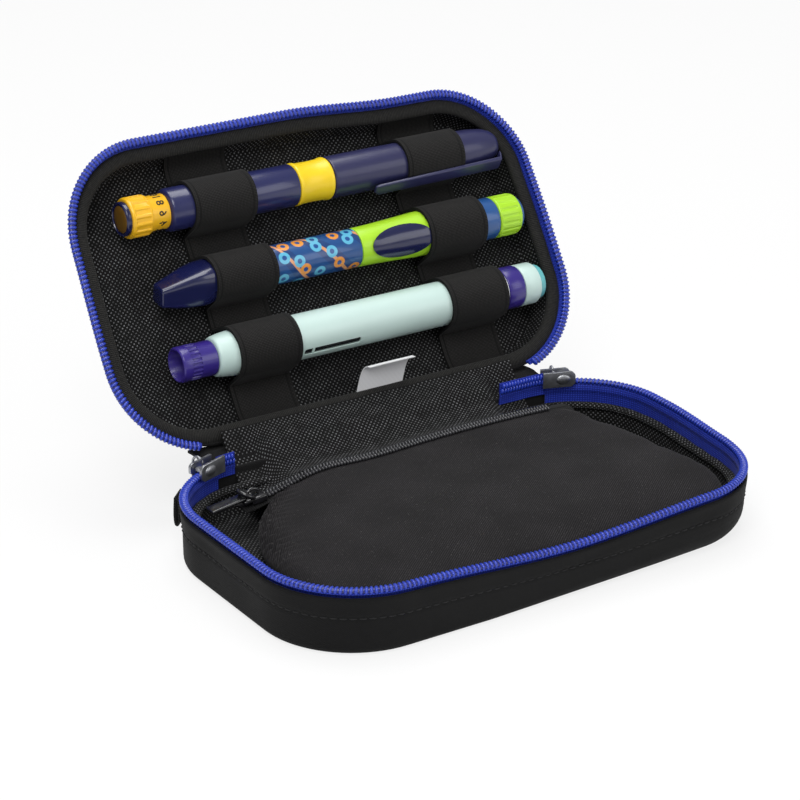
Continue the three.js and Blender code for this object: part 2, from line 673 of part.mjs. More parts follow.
piece(group, 'zip_end_right', prism(zipEndSection, zipEndFrom, zipEndFrom + ZIP_END_LENGTH), ZIP_BLUE, 0.6);

// Hang loop: a folded strip of webbing outside the left rear corner
const loopPlace = new THREE.Group();
loopPlace.name = 'hang_loop_place';
loopPlace.position.set(-cornerX, cornerY, 0);
loopPlace.rotation.z = LOOP_TURN_DEG * TURN;
group.add(loopPlace);
const loopIn = CORNER_RADIUS + CLEARANCE;
const loopMid = loopIn + LOOP_CLOTH;
const loopFold = loopMid + CLEARANCE;
const loopOut = loopFold + LOOP_CLOTH;
const loopTop = shellTop;
const loopBottom = loopTop - LOOP_HEIGHT;
const hangLoop = prism([
  [loopIn, loopTop],
  [loopIn, loopBottom],
  [loopOut, loopBottom],
  [loopOut, loopTop],
  [loopFold, loopTop],
  [loopFold, loopBottom + LOOP_CLOTH],
  [loopMid, loopBottom + LOOP_CLOTH],
  [loopMid, loopTop],
], -LOOP_WIDTH / 2, LOOP_WIDTH / 2);
piece(loopPlace, 'hang_loop', hangLoop, BLACK_CLOTH, 0.9);

// Fabric hinge, base leaves: spine outside the rear wall, lining from the pocket zip up to the hinge
const hingeY = CASE_WIDTH / 2 + HINGE_OUT;
const spineY = CASE_WIDTH / 2 + CLEARANCE;
const spineTop = BASE_HEIGHT - SPINE_THICKNESS - CLEARANCE;
const spineBottom = shellTop - SPINE_REACH;
const spineLower = prism([
  [spineY, spineBottom],
  [spineY + SPINE_THICKNESS, spineBottom],
  [spineY + SPINE_THICKNESS, spineTop],
  [hingeY - SPINE_EDGE / 5, BASE_HEIGHT - SPINE_EDGE],
  [hingeY - SPINE_EDGE, BASE_HEIGHT - SPINE_EDGE / 5],
  [spineY, spineTop],
], -HINGE_LENGTH / 2, HINGE_LENGTH / 2);
piece(group, 'hinge_spine_lower', spineLower, BLACK_CLOTH, 0.9);

const panelFrontY = rearTapeY + CLEARANCE;
const panelRearY = CASE_WIDTH / 2 - COIL_INSET;
const panelRun = panelRearY - panelFrontY;
const panelFrontZ = pocketTop - POCKET_COIL_HEIGHT / 2;
const panelRearZ = spineTop - CLEARANCE;
const panelLine = Array.from({ length: 7 }, (_, i) => {
  const share = i / 6;
  const sag = HINGE_LINING_DIP * Math.sin(share * Math.PI);
  return [panelFrontY + panelRun * share, panelFrontZ + (panelRearZ - panelFrontZ) * share ** 2 - sag];
});
const panelSection = [...panelLine, ...panelLine.map(([y, z]) => [y, z - LINING]).reverse()];
const hingeLiningHalf = HINGE_LINING_LENGTH / 2;
piece(group, 'hinge_lining_lower', prism(panelSection, -hingeLiningHalf, hingeLiningHalf), LINING_CLOTH, 0.9);

// Lid frame: on the hinge line, Y toward the hinge and Z away from the base when the lid is shut
const lid = new THREE.Group();
lid.name = 'lid_place';
lid.position.set(0, hingeY, BASE_HEIGHT);
lid.rotation.x = -LID_OPEN_DEG * TURN;
group.add(lid);
const lidTray = new THREE.Group();
lidTray.name = 'lid_tray_place';
lidTray.position.y = -CASE_WIDTH / 2 - HINGE_OUT;
lid.add(lidTray);

const lean = LID_LEAN_DEG * TURN;
const lidShellTop = COIL_SETBACK + COIL_HEIGHT + CLEARANCE + SHELL_SETBACK;
const lidEdgeInset = COIL_INSET / 2;
const filletZ = LID_DEPTH - LID_FILLET;
const straightEnd = filletZ + LID_FILLET * Math.sin(lean);
const filletInset = lidEdgeInset + Math.tan(lean) * (straightEnd - lidShellTop) + LID_FILLET * Math.cos(lean);

function leanInset(height, depth) {
  return lidEdgeInset + Math.tan(lean) * (height - lidShellTop) + depth / Math.cos(lean);
}

// Lid wall at a distance in from the outside, from its rim to its flat back
function lidWall(depth, top) {
  const points = [[leanInset(top, depth), top]];
  const arcSteps = 4;
  for (let i = 0; i <= arcSteps; i += 1) {
    const angle = lean + (Math.PI / 2 - lean) * i / arcSteps;
    const reach = LID_FILLET - depth;
    points.push([filletInset - reach * Math.cos(angle), filletZ + reach * Math.sin(angle)]);
  }
  return points;
}

const lidShellSection = [...lidWall(0, lidShellTop).reverse(), ...lidWall(LID_SHELL, lidShellTop)];
piece(lidTray, 'lid_shell', roundCase(lidShellSection, false), BLACK_CLOTH, 0.85);

const lidCoilZ = COIL_SETBACK + COIL_HEIGHT / 2;
const lidCoil = ovalSection(coilMiddle, lidCoilZ, COIL_WIDTH, COIL_HEIGHT, 8);
piece(lidTray, 'lid_zip_coil', alongZip(lidCoil), ZIP_BLUE, 0.45);
const lidTapeTop = COIL_SETBACK + COIL_HEIGHT + CLEARANCE;
const lidTapeEnd = lidTapeTop + TAPE_REACH / 2;
const lidTapeOut = LID_SHELL + CLEARANCE;
const lidTapeIn = lidTapeOut + TAPE_THICKNESS;
const lidTape = [
  [leanInset(lidTapeTop, lidTapeOut), lidTapeTop],
  [leanInset(lidTapeTop, lidTapeIn), lidTapeTop],
  [leanInset(lidTapeEnd, lidTapeIn), lidTapeEnd],
  [leanInset(lidTapeEnd, lidTapeOut), lidTapeEnd],
];
piece(lidTray, 'lid_zip_tape', alongZip(lidTape), ZIP_BLUE, 0.7);

const lidLiningOut = lidTapeIn + CLEARANCE;
const lidLiningIn = lidLiningOut + LINING;
const lidBindingZ = lidTapeTop + CLEARANCE + BINDING_HEIGHT / 2;
const lidBindingBottom = lidBindingZ + BINDING_HEIGHT / 2;
const lidBindingInset = leanInset(lidBindingZ, lidLiningOut) + CLEARANCE + BINDING_WIDTH / 2;
const lidBindingIn = lidBindingInset + BINDING_WIDTH / 2;
const lidBinding = ovalSection(lidBindingInset, lidBindingZ, BINDING_WIDTH, BINDING_HEIGHT, 8);
piece(lidTray, 'lid_binding', roundCase(lidBinding, true), BLACK_CLOTH, 0.9);

const lidFoamOuter = LID_DEPTH - LID_SHELL - CLEARANCE;
const lidFoamInner = lidFoamOuter - LID_FOAM;
const lidFloorBack = lidFoamInner - CLEARANCE;
const lidFloor = lidFloorBack - LINING;
const liningTop = lidBindingBottom + CLEARANCE;

// Lining wall that leans like the lid, then turns into the flat floor through a small fillet
function liningWall(depth, floor, fillet) {
  const arcZ = floor - fillet;
  const arcStart = arcZ + fillet * Math.sin(lean);
  const arcInset = leanInset(arcStart, depth) + fillet * Math.cos(lean);
  const points = [[leanInset(liningTop, depth), liningTop]];
  for (let i = 0; i <= 2; i += 1) {
    const angle = lean + (Math.PI / 2 - lean) * i / 2;
    points.push([arcInset - fillet * Math.cos(angle), arcZ + fillet * Math.sin(angle)]);
  }
  return points;
}

const liningOuter = liningWall(lidLiningOut, lidFloorBack, LINING_FILLET);
const liningInner = liningWall(lidLiningIn, lidFloor, LINING_FILLET - LINING);
const [floorInset] = liningInner[liningInner.length - 1];
piece(lidTray, 'lid_lining', roundCase([...liningOuter.reverse(), ...liningInner], false), LINING_CLOTH, 0.9);

const foamReach = LID_FILLET - LID_SHELL - CLEARANCE;
const foamSection = [0, 0.5, 1].map((share) => {
  const height = lidFoamInner + LID_FOAM * share;
  const rise = Math.min(height - filletZ, foamReach);
  return [filletInset - Math.sqrt(foamReach ** 2 - rise ** 2) + CLEARANCE, height];
});
piece(lidTray, 'lid_foam', roundCase(foamSection, false), FOAM_GREY, 0.95);

// Fabric hinge, lid leaves
const spineStart = SPINE_THICKNESS + CLEARANCE;
const lidWallY = -HINGE_OUT + CLEARANCE;
const spineUpper = [spineStart, lidShellTop, lidShellTop + SPINE_REACH / 2].map((height) => {
  return [lidWallY - Math.max(leanInset(height, 0), 0), height];
});
const spineUpperSection = [
  [-SPINE_EDGE, SPINE_EDGE / 5],
  ...spineUpper,
  ...spineUpper.map(([y, z]) => [y + SPINE_THICKNESS, z]).reverse(),
  [-SPINE_EDGE / 5, SPINE_EDGE],
];
const spineUpperLeaf = prism(spineUpperSection, -HINGE_LENGTH / 2, HINGE_LENGTH / 2);
piece(lid, 'hinge_spine_upper', spineUpperLeaf, BLACK_CLOTH, 0.9);

const upperLiningZ = lidBindingZ - BINDING_HEIGHT / 2 - CLEARANCE;
const upperLining = box(
  -hingeLiningHalf,
  hingeLiningHalf,
  -HINGE_OUT - lidBindingInset,
  -HINGE_OUT - COIL_INSET,
  upperLiningZ - LINING,
  upperLiningZ,
);
piece(lid, 'hinge_lining_upper', upperLining, LINING_CLOTH, 0.9);

// Places of the pens on the lid floor
const upperV = HINGE_OUT + CASE_WIDTH - UPPER_PEN_FROM_FRONT;
const lowerV = LOWER_PEN_FROM_HINGE;
const middleV = (upperV + lowerV) / 2;
const thickestPen = Math.max(UPPER_RADIUS, MIDDLE_FLARE_RADIUS, LOWER_RADIUS);
const penZ = lidFloor - CLEARANCE - thickestPen;

// Elastic bands: sewn flat to the floor between the pens and stretched over each of them
function strapLine(radii) {
  const level = lidFloor - CLEARANCE - STRAP_THICKNESS / 2;
  const line = [];
  const arcSteps = 8;
  radii.forEach(([v, radius]) => {
    const reach = radius + CLEARANCE + STRAP_THICKNESS / 2;
    const sideways = radius + STRAP_SEW_REACH;
    const down = level - penZ;
    const turn = Math.atan2(sideways, -down) - Math.acos(reach / Math.hypot(sideways, down));
    line.push([-v - sideways, level]);
    for (let i = 0; i <= arcSteps; i += 1) {
      const angle = -turn + 2 * turn * i / arcSteps;
      line.push([-v + reach * Math.sin(angle), penZ - reach * Math.cos(angle)]);
    }
    line.push([-v + sideways, level]);
  });
  const farEnd = -HINGE_OUT - CASE_WIDTH + floorInset + STRAP_END_GAP;
  const nearEnd = -HINGE_OUT - floorInset - STRAP_END_GAP;
  return [[farEnd, level], ...line, [nearEnd, level]];
}

function thicken(line, thickness) {
  const sides = [[], []];
  line.forEach(([y, z], i) => {
    const before = line[Math.max(i - 1, 0)];
    const after = line[Math.min(i + 1, line.length - 1)];
    const steps = [[before, [y, z]], [[y, z], after]].filter(([p, q]) => p[0] !== q[0] || p[1] !== q[1]);
    const normals = steps.map(([p, q]) => new THREE.Vector2(p[1] - q[1], q[0] - p[0]).normalize());
    const mean = normals.reduce((sum, n) => sum.add(n), new THREE.Vector2()).normalize();
    const miter = thickness / 2 / mean.dot(normals.length > 1 ? normals[1] : mean);
    sides[0].push([y + mean.x * miter, z + mean.y * miter]);
    sides[1].push([y - mean.x * miter, z - mean.y * miter]);
  });
  return [...sides[0], ...sides[1].reverse()];
}

function strap(name, middleX, radii) {
  const section = thicken(strapLine(radii), STRAP_THICKNESS);
  piece(lid, name, prism(section, middleX - STRAP_WIDTH / 2, middleX + STRAP_WIDTH / 2), '#1a1a1c', 0.95);
}

const leftStrapX = -CASE_LENGTH / 2 + LEFT_STRAP_FROM_END;
const rightStrapX = CASE_LENGTH / 2 - RIGHT_STRAP_FROM_END;
const upperLoop = [upperV, UPPER_RADIUS];
const lowerLoop = [lowerV, LOWER_RADIUS];
strap('left_strap', leftStrapX, [upperLoop, [middleV, MIDDLE_RADIUS], lowerLoop]);
strap('right_strap', rightStrapX, [upperLoop, [middleV, MIDDLE_FLARE_RADIUS], lowerLoop]);

// Care label: sewn in at the lower seam and curling forward
const labelRootY = -HINGE_OUT - lidBindingIn - CLEARANCE - LABEL_THICKNESS;
const labelLine = [0, 1, 2, 3, 4].map((i) => {
  const rise = LABEL_RISE * Math.sin(i / 4 * LABEL_CURL_DEG * TURN);
  return [labelRootY - LABEL_REACH * (i / 4) ** 2, lidBindingZ - rise];
});
const labelSection = thicken(labelLine, LABEL_THICKNESS);
const labelX = LABEL_OFFSET - LABEL_WIDTH / 2;
piece(lid, 'care_label', prism(labelSection, labelX, labelX + LABEL_WIDTH), LABEL_WHITE, 0.8);

function penPlace(name, v) {
  const place = new THREE.Group();
  place.name = name;
  place.position.set(0, -v, penZ);
  lid.add(place);
  return place;
}

// Upper pen, from the dial at the left to the clip cap at the right
const upper = penPlace('upper_pen_place', upperV);
const upperButtonX = -CASE_LENGTH / 2 + UPPER_PEN_LEFT_GAP;
const upperKnobX = upperButtonX + UPPER_BUTTON_PROUD;
const upperSleeveX = upperKnobX + UPPER_KNOB_LENGTH;
const upperBarrelX = upperSleeveX + UPPER_SLEEVE_LENGTH + CLEARANCE;
const upperBandX = upperBarrelX + UPPER_BARREL_LENGTH + CLEARANCE;
const upperCapX = upperBandX + UPPER_BAND_LENGTH + CLEARANCE;
const upperEndX = CASE_LENGTH / 2 - UPPER_PEN_RIGHT_GAP;
const upperButtonSeat = upperKnobX + BUTTON_TRAVEL + CLEARANCE + 2;
const upperDial = cut(
  join(
    flutedGrip(upperKnobX, upperSleeveX, UPPER_KNOB_RADIUS, 0.5, 14),
    rod(upperKnobX + 1, upperBarrelX - CLEARANCE, UPPER_SLEEVE_RADIUS),
  ),
  rod(upperKnobX - 1, upperButtonSeat, UPPER_BUTTON_RADIUS + CLEARANCE),
);
piece(upper, 'upper_pen_dial', upperDial, YELLOW, 0.45);
const inlayRadius = UPPER_BUTTON_RADIUS - 1.2;
const inlayDepth = 0.6;
const upperButtonBody = cut(
  rod(upperButtonX, upperButtonSeat - BUTTON_TRAVEL - CLEARANCE, UPPER_BUTTON_RADIUS),
  rod(upperButtonX - 1, upperButtonX + inlayDepth + CLEARANCE, inlayRadius + CLEARANCE),
);
piece(upper, 'upper_pen_button', upperButtonBody, DEEP_NAVY, 0.3);
const upperInlay = rod(upperButtonX, upperButtonX + inlayDepth, inlayRadius);
piece(upper, 'upper_pen_button_inlay', upperInlay, '#5b4327', 0.4);
const upperBarrel = rod(upperBarrelX, upperBarrelX + UPPER_BARREL_LENGTH, UPPER_RADIUS);
piece(upper, 'upper_pen_barrel', upperBarrel, NAVY, 0.3);
const upperBore = UPPER_HOLDER_RADIUS + CLEARANCE;
const upperBand = turned([
  [upperBandX, upperBore],
  [upperBandX, UPPER_RADIUS],
  [upperBandX + UPPER_BAND_LENGTH * 0.3, UPPER_RADIUS - 0.4],
  [upperBandX + UPPER_BAND_LENGTH * 0.7, UPPER_RADIUS - 0.4],
  [upperBandX + UPPER_BAND_LENGTH, UPPER_RADIUS],
  [upperBandX + UPPER_BAND_LENGTH, upperBore],
  [upperBandX, upperBore],
]);
piece(upper, 'upper_pen_band', upperBand, YELLOW, 0.45);
const upperHolderEnd = upperBandX + UPPER_HOLDER_LENGTH;
const capBoreEnd = upperHolderEnd + CLEARANCE;
const capTube = turned([
  [capBoreEnd, 0],
  [capBoreEnd, upperBore],
  [upperCapX, upperBore],
  [upperCapX, UPPER_RADIUS],
  [upperEndX - UPPER_TIP_LENGTH, UPPER_RADIUS],
  [upperEndX - UPPER_TIP_LENGTH * 0.4, UPPER_RADIUS * 0.94],
  [upperEndX - UPPER_TIP_LENGTH * 0.15, UPPER_RADIUS * 0.8],
  [upperEndX - UPPER_TIP_LENGTH * 0.04, UPPER_RADIUS * 0.6],
  [upperEndX, UPPER_RADIUS * 0.4],
  [upperEndX, 0],
]);
const clipFloor = UPPER_RADIUS + STRAP_THICKNESS + 2 * CLEARANCE;
const clipTop = clipFloor + CLIP_THICKNESS;
const clipEnd = upperEndX - 1.6;
const clipRoot = clipEnd - 5;
const clipTip = clipEnd - CLIP_LENGTH;
const clipShape = new THREE.Shape([
  [clipTip, clipFloor],
  [clipRoot, clipFloor],
  [clipRoot, UPPER_RADIUS - 2],
  [clipEnd - 0.6, UPPER_RADIUS - 3],
  [clipEnd, UPPER_RADIUS],
  [clipEnd - 1, clipFloor],
  [clipRoot - 2, clipTop],
  [clipTip + 2, clipTop],
  [clipTip, clipFloor + CLIP_THICKNESS / 2],
].map(([x, y]) => new THREE.Vector2(x, y)));
const clip = new THREE.ExtrudeGeometry(clipShape, { depth: CLIP_WIDTH, bevelEnabled: false });
clip.translate(0, 0, -CLIP_WIDTH / 2).rotateX(-CLIP_TURN_DEG * TURN);
piece(upper, 'upper_pen_cap', join(capTube, clip), NAVY, 0.3);
const holderBore = UPPER_HOLDER_RADIUS - PEN_WALL / 2;
const upperHolder = turned([
  [upperBandX, 0],
  [upperBandX, UPPER_HOLDER_RADIUS],
  [upperHolderEnd, UPPER_HOLDER_RADIUS],
  [upperHolderEnd, holderBore],
  [upperBandX + PEN_WALL, holderBore],
  [upperBandX + PEN_WALL, 0],
], 14);
piece(upper, 'upper_pen_holder', upperHolder, CLEAR_PLASTIC, 0.3);
const upperVialEnd = upperHolderEnd - 2 * PEN_WALL;
const upperVial = rod(upperBandX + PEN_WALL + CLEARANCE, upperVialEnd, holderBore - CARTRIDGE_GLASS_GAP, 14);
piece(upper, 'upper_pen_cartridge', upperVial, '#dfeaf0', 0.15);

// Middle pen, from the wedge nose at the left to the dial at the right
const middle = penPlace('middle_pen_place', middleV);
const noseX = -CASE_LENGTH / 2 + MIDDLE_PEN_LEFT_GAP;
const bodyX = noseX + MIDDLE_NOSE_LENGTH + CLEARANCE;
const middleEndX = CASE_LENGTH / 2 - MIDDLE_PEN_RIGHT_GAP;
const middleKnobEnd = middleEndX - MIDDLE_BUTTON_PROUD;
const middleKnobX = middleKnobEnd - MIDDLE_KNOB_LENGTH;
const collarX = middleKnobX - CLEARANCE - MIDDLE_COLLAR_LENGTH;
const sleeveX = collarX - CLEARANCE - MIDDLE_SLEEVE_LENGTH;
const bodyEnd = sleeveX - CLEARANCE;

function noseRing(x, sizeY, sizeZ, radius) {
  return roundedSection(sizeY, sizeZ, radius, 4).map(([y, z]) => new THREE.Vector3(x, y, z));
}

const noseSize = 2 * MIDDLE_RADIUS;
const middleBore = MIDDLE_HOLDER_RADIUS + CLEARANCE;
const nose = cut(
  loft([
    noseRing(noseX, noseSize * 0.44, noseSize * 0.5, 2),
    noseRing(noseX + MIDDLE_NOSE_LENGTH * 0.04, noseSize * 0.5, noseSize * 0.56, 2.4),
    noseRing(noseX + MIDDLE_NOSE_LENGTH * 0.5, noseSize * 0.74, noseSize * 0.78, 3),
    noseRing(noseX + MIDDLE_NOSE_LENGTH * 0.8, noseSize * 0.92, noseSize * 0.94, 5),
    noseRing(noseX + MIDDLE_NOSE_LENGTH, noseSize, noseSize, MIDDLE_RADIUS - 0.1),
  ]),
  rod(noseX + MIDDLE_NOSE_LENGTH * 0.55, bodyX + 1, middleBore, 12),
);
piece(middle, 'middle_pen_nose_cap', nose, DEEP_NAVY, 0.2);
const middleBoreEnd = bodyEnd - 3 * PEN_WALL;
const middleBody = turned([
  [middleBoreEnd, 0],
  [middleBoreEnd, middleBore],
  [bodyX, middleBore],
  [bodyX, MIDDLE_RADIUS],
  [bodyEnd, MIDDLE_RADIUS],
  [bodyEnd, 0],
]);
piece(middle, 'middle_pen_body', middleBody, PATTERN_BLUE, 0.35);
const middleHolderX = noseX + MIDDLE_NOSE_LENGTH * 0.55 + CLEARANCE;
const middleHolderEnd = middleBoreEnd - CLEARANCE;
const middleHolderBore = MIDDLE_HOLDER_RADIUS - PEN_WALL / 2;
const middleHolder = turned([
  [middleHolderX, middleHolderBore],
  [middleHolderX, MIDDLE_HOLDER_RADIUS],
  [middleHolderEnd, MIDDLE_HOLDER_RADIUS],
  [middleHolderEnd, 0],
  [middleHolderEnd - PEN_WALL, 0],
  [middleHolderEnd - PEN_WALL, middleHolderBore],
  [middleHolderX, middleHolderBore],
], 12);
piece(middle, 'middle_pen_holder', middleHolder, CLEAR_PLASTIC, 0.3);
const middleVialFrom = middleHolderX + PEN_WALL;
const middleVialTo = middleHolderEnd - PEN_WALL - CLEARANCE;
const middleVialRadius = middleHolderBore - CARTRIDGE_GLASS_GAP;
const middleVial = rod(middleVialFrom, middleVialTo, middleVialRadius, 12);
piece(middle, 'middle_pen_cartridge', middleVial, '#dfeaf0', 0.15);

function sleeveProfile(grow) {
  return [
    [sleeveX, MIDDLE_RADIUS + grow],
    [sleeveX + MIDDLE_SLEEVE_LENGTH * 0.3, MIDDLE_RADIUS + 0.4 + grow],
    [sleeveX + MIDDLE_SLEEVE_LENGTH * 0.6, MIDDLE_FLARE_RADIUS - 0.2 + grow],
    [sleeveX + MIDDLE_SLEEVE_LENGTH * 0.75, MIDDLE_FLARE_RADIUS + grow],
    [sleeveX + MIDDLE_SLEEVE_LENGTH, MIDDLE_FLARE_RADIUS + grow],
  ];
}

const sleeveEnd = sleeveX + MIDDLE_SLEEVE_LENGTH;
piece(middle, 'middle_pen_sleeve', turned([[sleeveX, 0], ...sleeveProfile(0), [sleeveEnd, 0]]), LIME, 0.4);
const badgeSkin = turned([
  ...sleeveProfile(CLEARANCE),
  ...sleeveProfile(CLEARANCE + BADGE_THICKNESS).reverse(),
  [sleeveX, MIDDLE_RADIUS + CLEARANCE],
]);
const badgeMiddle = rightStrapX - STRAP_WIDTH / 2 - 1 - BADGE_LENGTH / 2;
const badgeOval = new THREE.CylinderGeometry(1, 1, MIDDLE_FLARE_RADIUS * 2, 20).rotateX(Math.PI / 2);
badgeOval.scale(BADGE_LENGTH / 2, BADGE_WIDTH / 2, 1).translate(badgeMiddle, 0, -MIDDLE_FLARE_RADIUS);
piece(middle, 'middle_pen_badge', common(badgeSkin, badgeOval), DEEP_NAVY, 0.35);
const collar = rod(collarX, middleKnobX - CLEARANCE, MIDDLE_COLLAR_RADIUS);
piece(middle, 'middle_pen_collar', collar, PATTERN_BLUE, 0.35);
const middleSeat = middleKnobEnd - BUTTON_TRAVEL - CLEARANCE - 2;
const middleDial = cut(
  flutedGrip(middleKnobX, middleKnobEnd, MIDDLE_COLLAR_RADIUS, 0.3, 18),
  rod(middleSeat, middleEndX, MIDDLE_BUTTON_RADIUS + CLEARANCE),
);
piece(middle, 'middle_pen_dial', middleDial, LIME, 0.45);
const middleButton = rod(middleSeat + BUTTON_TRAVEL + CLEARANCE, middleEndX, MIDDLE_BUTTON_RADIUS);
piece(middle, 'middle_pen_button', middleButton, DEEP_NAVY, 0.3);

// Lower pen, from the base cap at the left to the button at the right
const lower = penPlace('lower_pen_place', lowerV);
const lowerCapX = -CASE_LENGTH / 2 + LOWER_PEN_LEFT_GAP;
const lowerBarrelX = lowerCapX + LOWER_CAP_LENGTH + CLEARANCE;
const lowerEndX = CASE_LENGTH / 2 - LOWER_PEN_RIGHT_GAP;
const dialEndTo = lowerEndX - LOWER_BUTTON_PROUD;
const dialEndX = dialEndTo - LOWER_END_LENGTH;
const lowerDialX = dialEndX - CLEARANCE - LOWER_DIAL_LENGTH;
const lowerRingX = lowerDialX - CLEARANCE - LOWER_RING_LENGTH;
const lowerBarrelEnd = lowerRingX - CLEARANCE;
const vialRadius = LOWER_CAP_RADIUS - 2 * PEN_WALL;
const vialFrom = lowerCapX + LOWER_CAP_LENGTH * 0.6;
const lowerCap = turned([
  [lowerCapX + LOWER_CAP_LENGTH * 0.4, 0],
  [lowerCapX + LOWER_CAP_LENGTH * 0.4, LOWER_CAP_RADIUS - PEN_WALL],
  [lowerCapX, LOWER_CAP_RADIUS - PEN_WALL * 0.6],
  [lowerCapX, LOWER_CAP_RADIUS],
  [lowerBarrelX - CLEARANCE, LOWER_CAP_RADIUS],
  [lowerBarrelX - CLEARANCE, vialRadius + CLEARANCE],
  [vialFrom - CLEARANCE, vialRadius + CLEARANCE],
  [vialFrom - CLEARANCE, 0],
]);
piece(lower, 'lower_pen_base_cap', lowerCap, PURPLE, 0.35);
const vialTo = lowerBarrelEnd - LOWER_DRIVE_LENGTH;
const lowerBarrel = turned([
  [vialTo + CLEARANCE, 0],
  [vialTo + CLEARANCE, vialRadius + CLEARANCE],
  [lowerBarrelX, vialRadius + CLEARANCE],
  [lowerBarrelX, LOWER_CAP_RADIUS + 0.4],
  [lowerBarrelX + LOWER_SHOULDER * 0.35, LOWER_CAP_RADIUS + 1],
  [lowerBarrelX + LOWER_SHOULDER, LOWER_RADIUS],
  [lowerBarrelEnd, LOWER_RADIUS],
  [lowerBarrelEnd, 0],
]);
const windowX = leftStrapX + STRAP_WIDTH / 2 + WINDOW_FROM_STRAP;

function windowBlock(margin, floor, top) {
  const half = WINDOW_WIDTH / 2 - margin;
  const block = box(windowX + margin, windowX + WINDOW_LENGTH - margin, floor, top, -half, half);
  return block.rotateX(-WINDOW_TURN_DEG * TURN);
}

const windowFloor = LOWER_RADIUS - WINDOW_DEPTH;
const windowCut = windowBlock(0, windowFloor, LOWER_RADIUS + 1);
piece(lower, 'lower_pen_barrel', cut(lowerBarrel, windowCut), MINT, 0.4);
const windowTop = LOWER_RADIUS - WINDOW_DEPTH / 2;
piece(lower, 'lower_pen_window', windowBlock(CLEARANCE, windowFloor + CLEARANCE, windowTop), '#141414', 0.3);
piece(lower, 'lower_pen_cartridge', rod(vialFrom, vialTo, vialRadius, 12), '#dfeaf0', 0.15);
const lowerRing = rod(lowerRingX, lowerRingX + LOWER_RING_LENGTH, LOWER_DIAL_RADIUS);
piece(lower, 'lower_pen_ring', lowerRing, '#f4f4f0', 0.4);
piece(lower, 'lower_pen_dial', rod(lowerDialX, dialEndX - CLEARANCE, LOWER_DIAL_RADIUS), PURPLE, 0.35);
const lowerSeat = dialEndTo - BUTTON_TRAVEL - CLEARANCE - 2;
const dialEnd = turned([
  [dialEndX, 0],
  [dialEndX, LOWER_DIAL_RADIUS - 0.1],
  [dialEndTo - 1.5, LOWER_DIAL_RADIUS - 0.2],
  [dialEndTo, LOWER_BUTTON_RADIUS + PEN_WALL / 2],
  [dialEndTo, LOWER_BUTTON_RADIUS + CLEARANCE],
  [lowerSeat, LOWER_BUTTON_RADIUS + CLEARANCE],
  [lowerSeat, 0],
]);
piece(lower, 'lower_pen_dial_end', dialEnd, MINT, 0.4);
const lowerButtonX = lowerSeat + BUTTON_TRAVEL + CLEARANCE;
const lowerButton = turned([
  [lowerButtonX, 0],
  [lowerButtonX, LOWER_BUTTON_RADIUS],
  [lowerEndX - 0.6, LOWER_BUTTON_RADIUS],
  [lowerEndX, LOWER_BUTTON_RADIUS - 0.8],
  [lowerEndX, 0],
]);
piece(lower, 'lower_pen_button', lowerButton, TEAL, 0.4);

export default group;
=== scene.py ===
import math

import bmesh
import bpy
from mathutils import Matrix, Vector, noise


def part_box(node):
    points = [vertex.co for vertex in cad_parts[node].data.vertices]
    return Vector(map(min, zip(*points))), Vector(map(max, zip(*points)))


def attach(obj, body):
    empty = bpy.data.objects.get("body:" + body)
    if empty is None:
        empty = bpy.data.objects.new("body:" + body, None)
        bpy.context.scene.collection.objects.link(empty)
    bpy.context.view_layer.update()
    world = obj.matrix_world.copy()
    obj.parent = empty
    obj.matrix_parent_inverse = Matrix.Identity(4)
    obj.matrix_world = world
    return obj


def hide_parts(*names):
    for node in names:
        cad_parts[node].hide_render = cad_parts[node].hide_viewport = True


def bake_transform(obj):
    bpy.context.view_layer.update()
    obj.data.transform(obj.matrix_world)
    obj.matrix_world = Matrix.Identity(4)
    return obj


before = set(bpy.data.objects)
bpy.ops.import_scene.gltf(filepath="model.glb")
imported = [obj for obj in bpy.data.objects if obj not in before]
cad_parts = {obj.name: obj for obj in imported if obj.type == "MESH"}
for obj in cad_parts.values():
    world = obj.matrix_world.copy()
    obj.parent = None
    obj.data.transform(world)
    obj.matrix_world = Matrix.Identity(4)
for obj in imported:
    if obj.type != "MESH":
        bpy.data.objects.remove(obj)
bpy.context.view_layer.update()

# ---- Base shell ----
# The outside of the lower half: black softshell twill pressed over thin foam into a shallow tray.
# The rim is turned in under the zip, and the soft front sags a little while the case stands open.
MM = 0.001
CASE_LENGTH = 200
CASE_WIDTH = 117
CASE_CORNER = 36
BASE_SHELL_TOP = 21.1
BASE_TAPER = 1
BASE_WALL = 1.5
BASE_RIM = 25.5
RIM_DIP = 4.0
FOOT_FILLET_LEFT = 2.6
FOOT_FILLET_GAIN = 7.0
CORNER_DRAW = 4.0
BASE_TAPER_RUN = 13.1
STITCH_HEIGHT = 13.6
FLOOR_INSET = 30
CORNER_X = CASE_LENGTH / 2 - CASE_CORNER
CORNER_Y = CASE_WIDTH / 2 - CASE_CORNER
WAVE_SCALE = 0.314


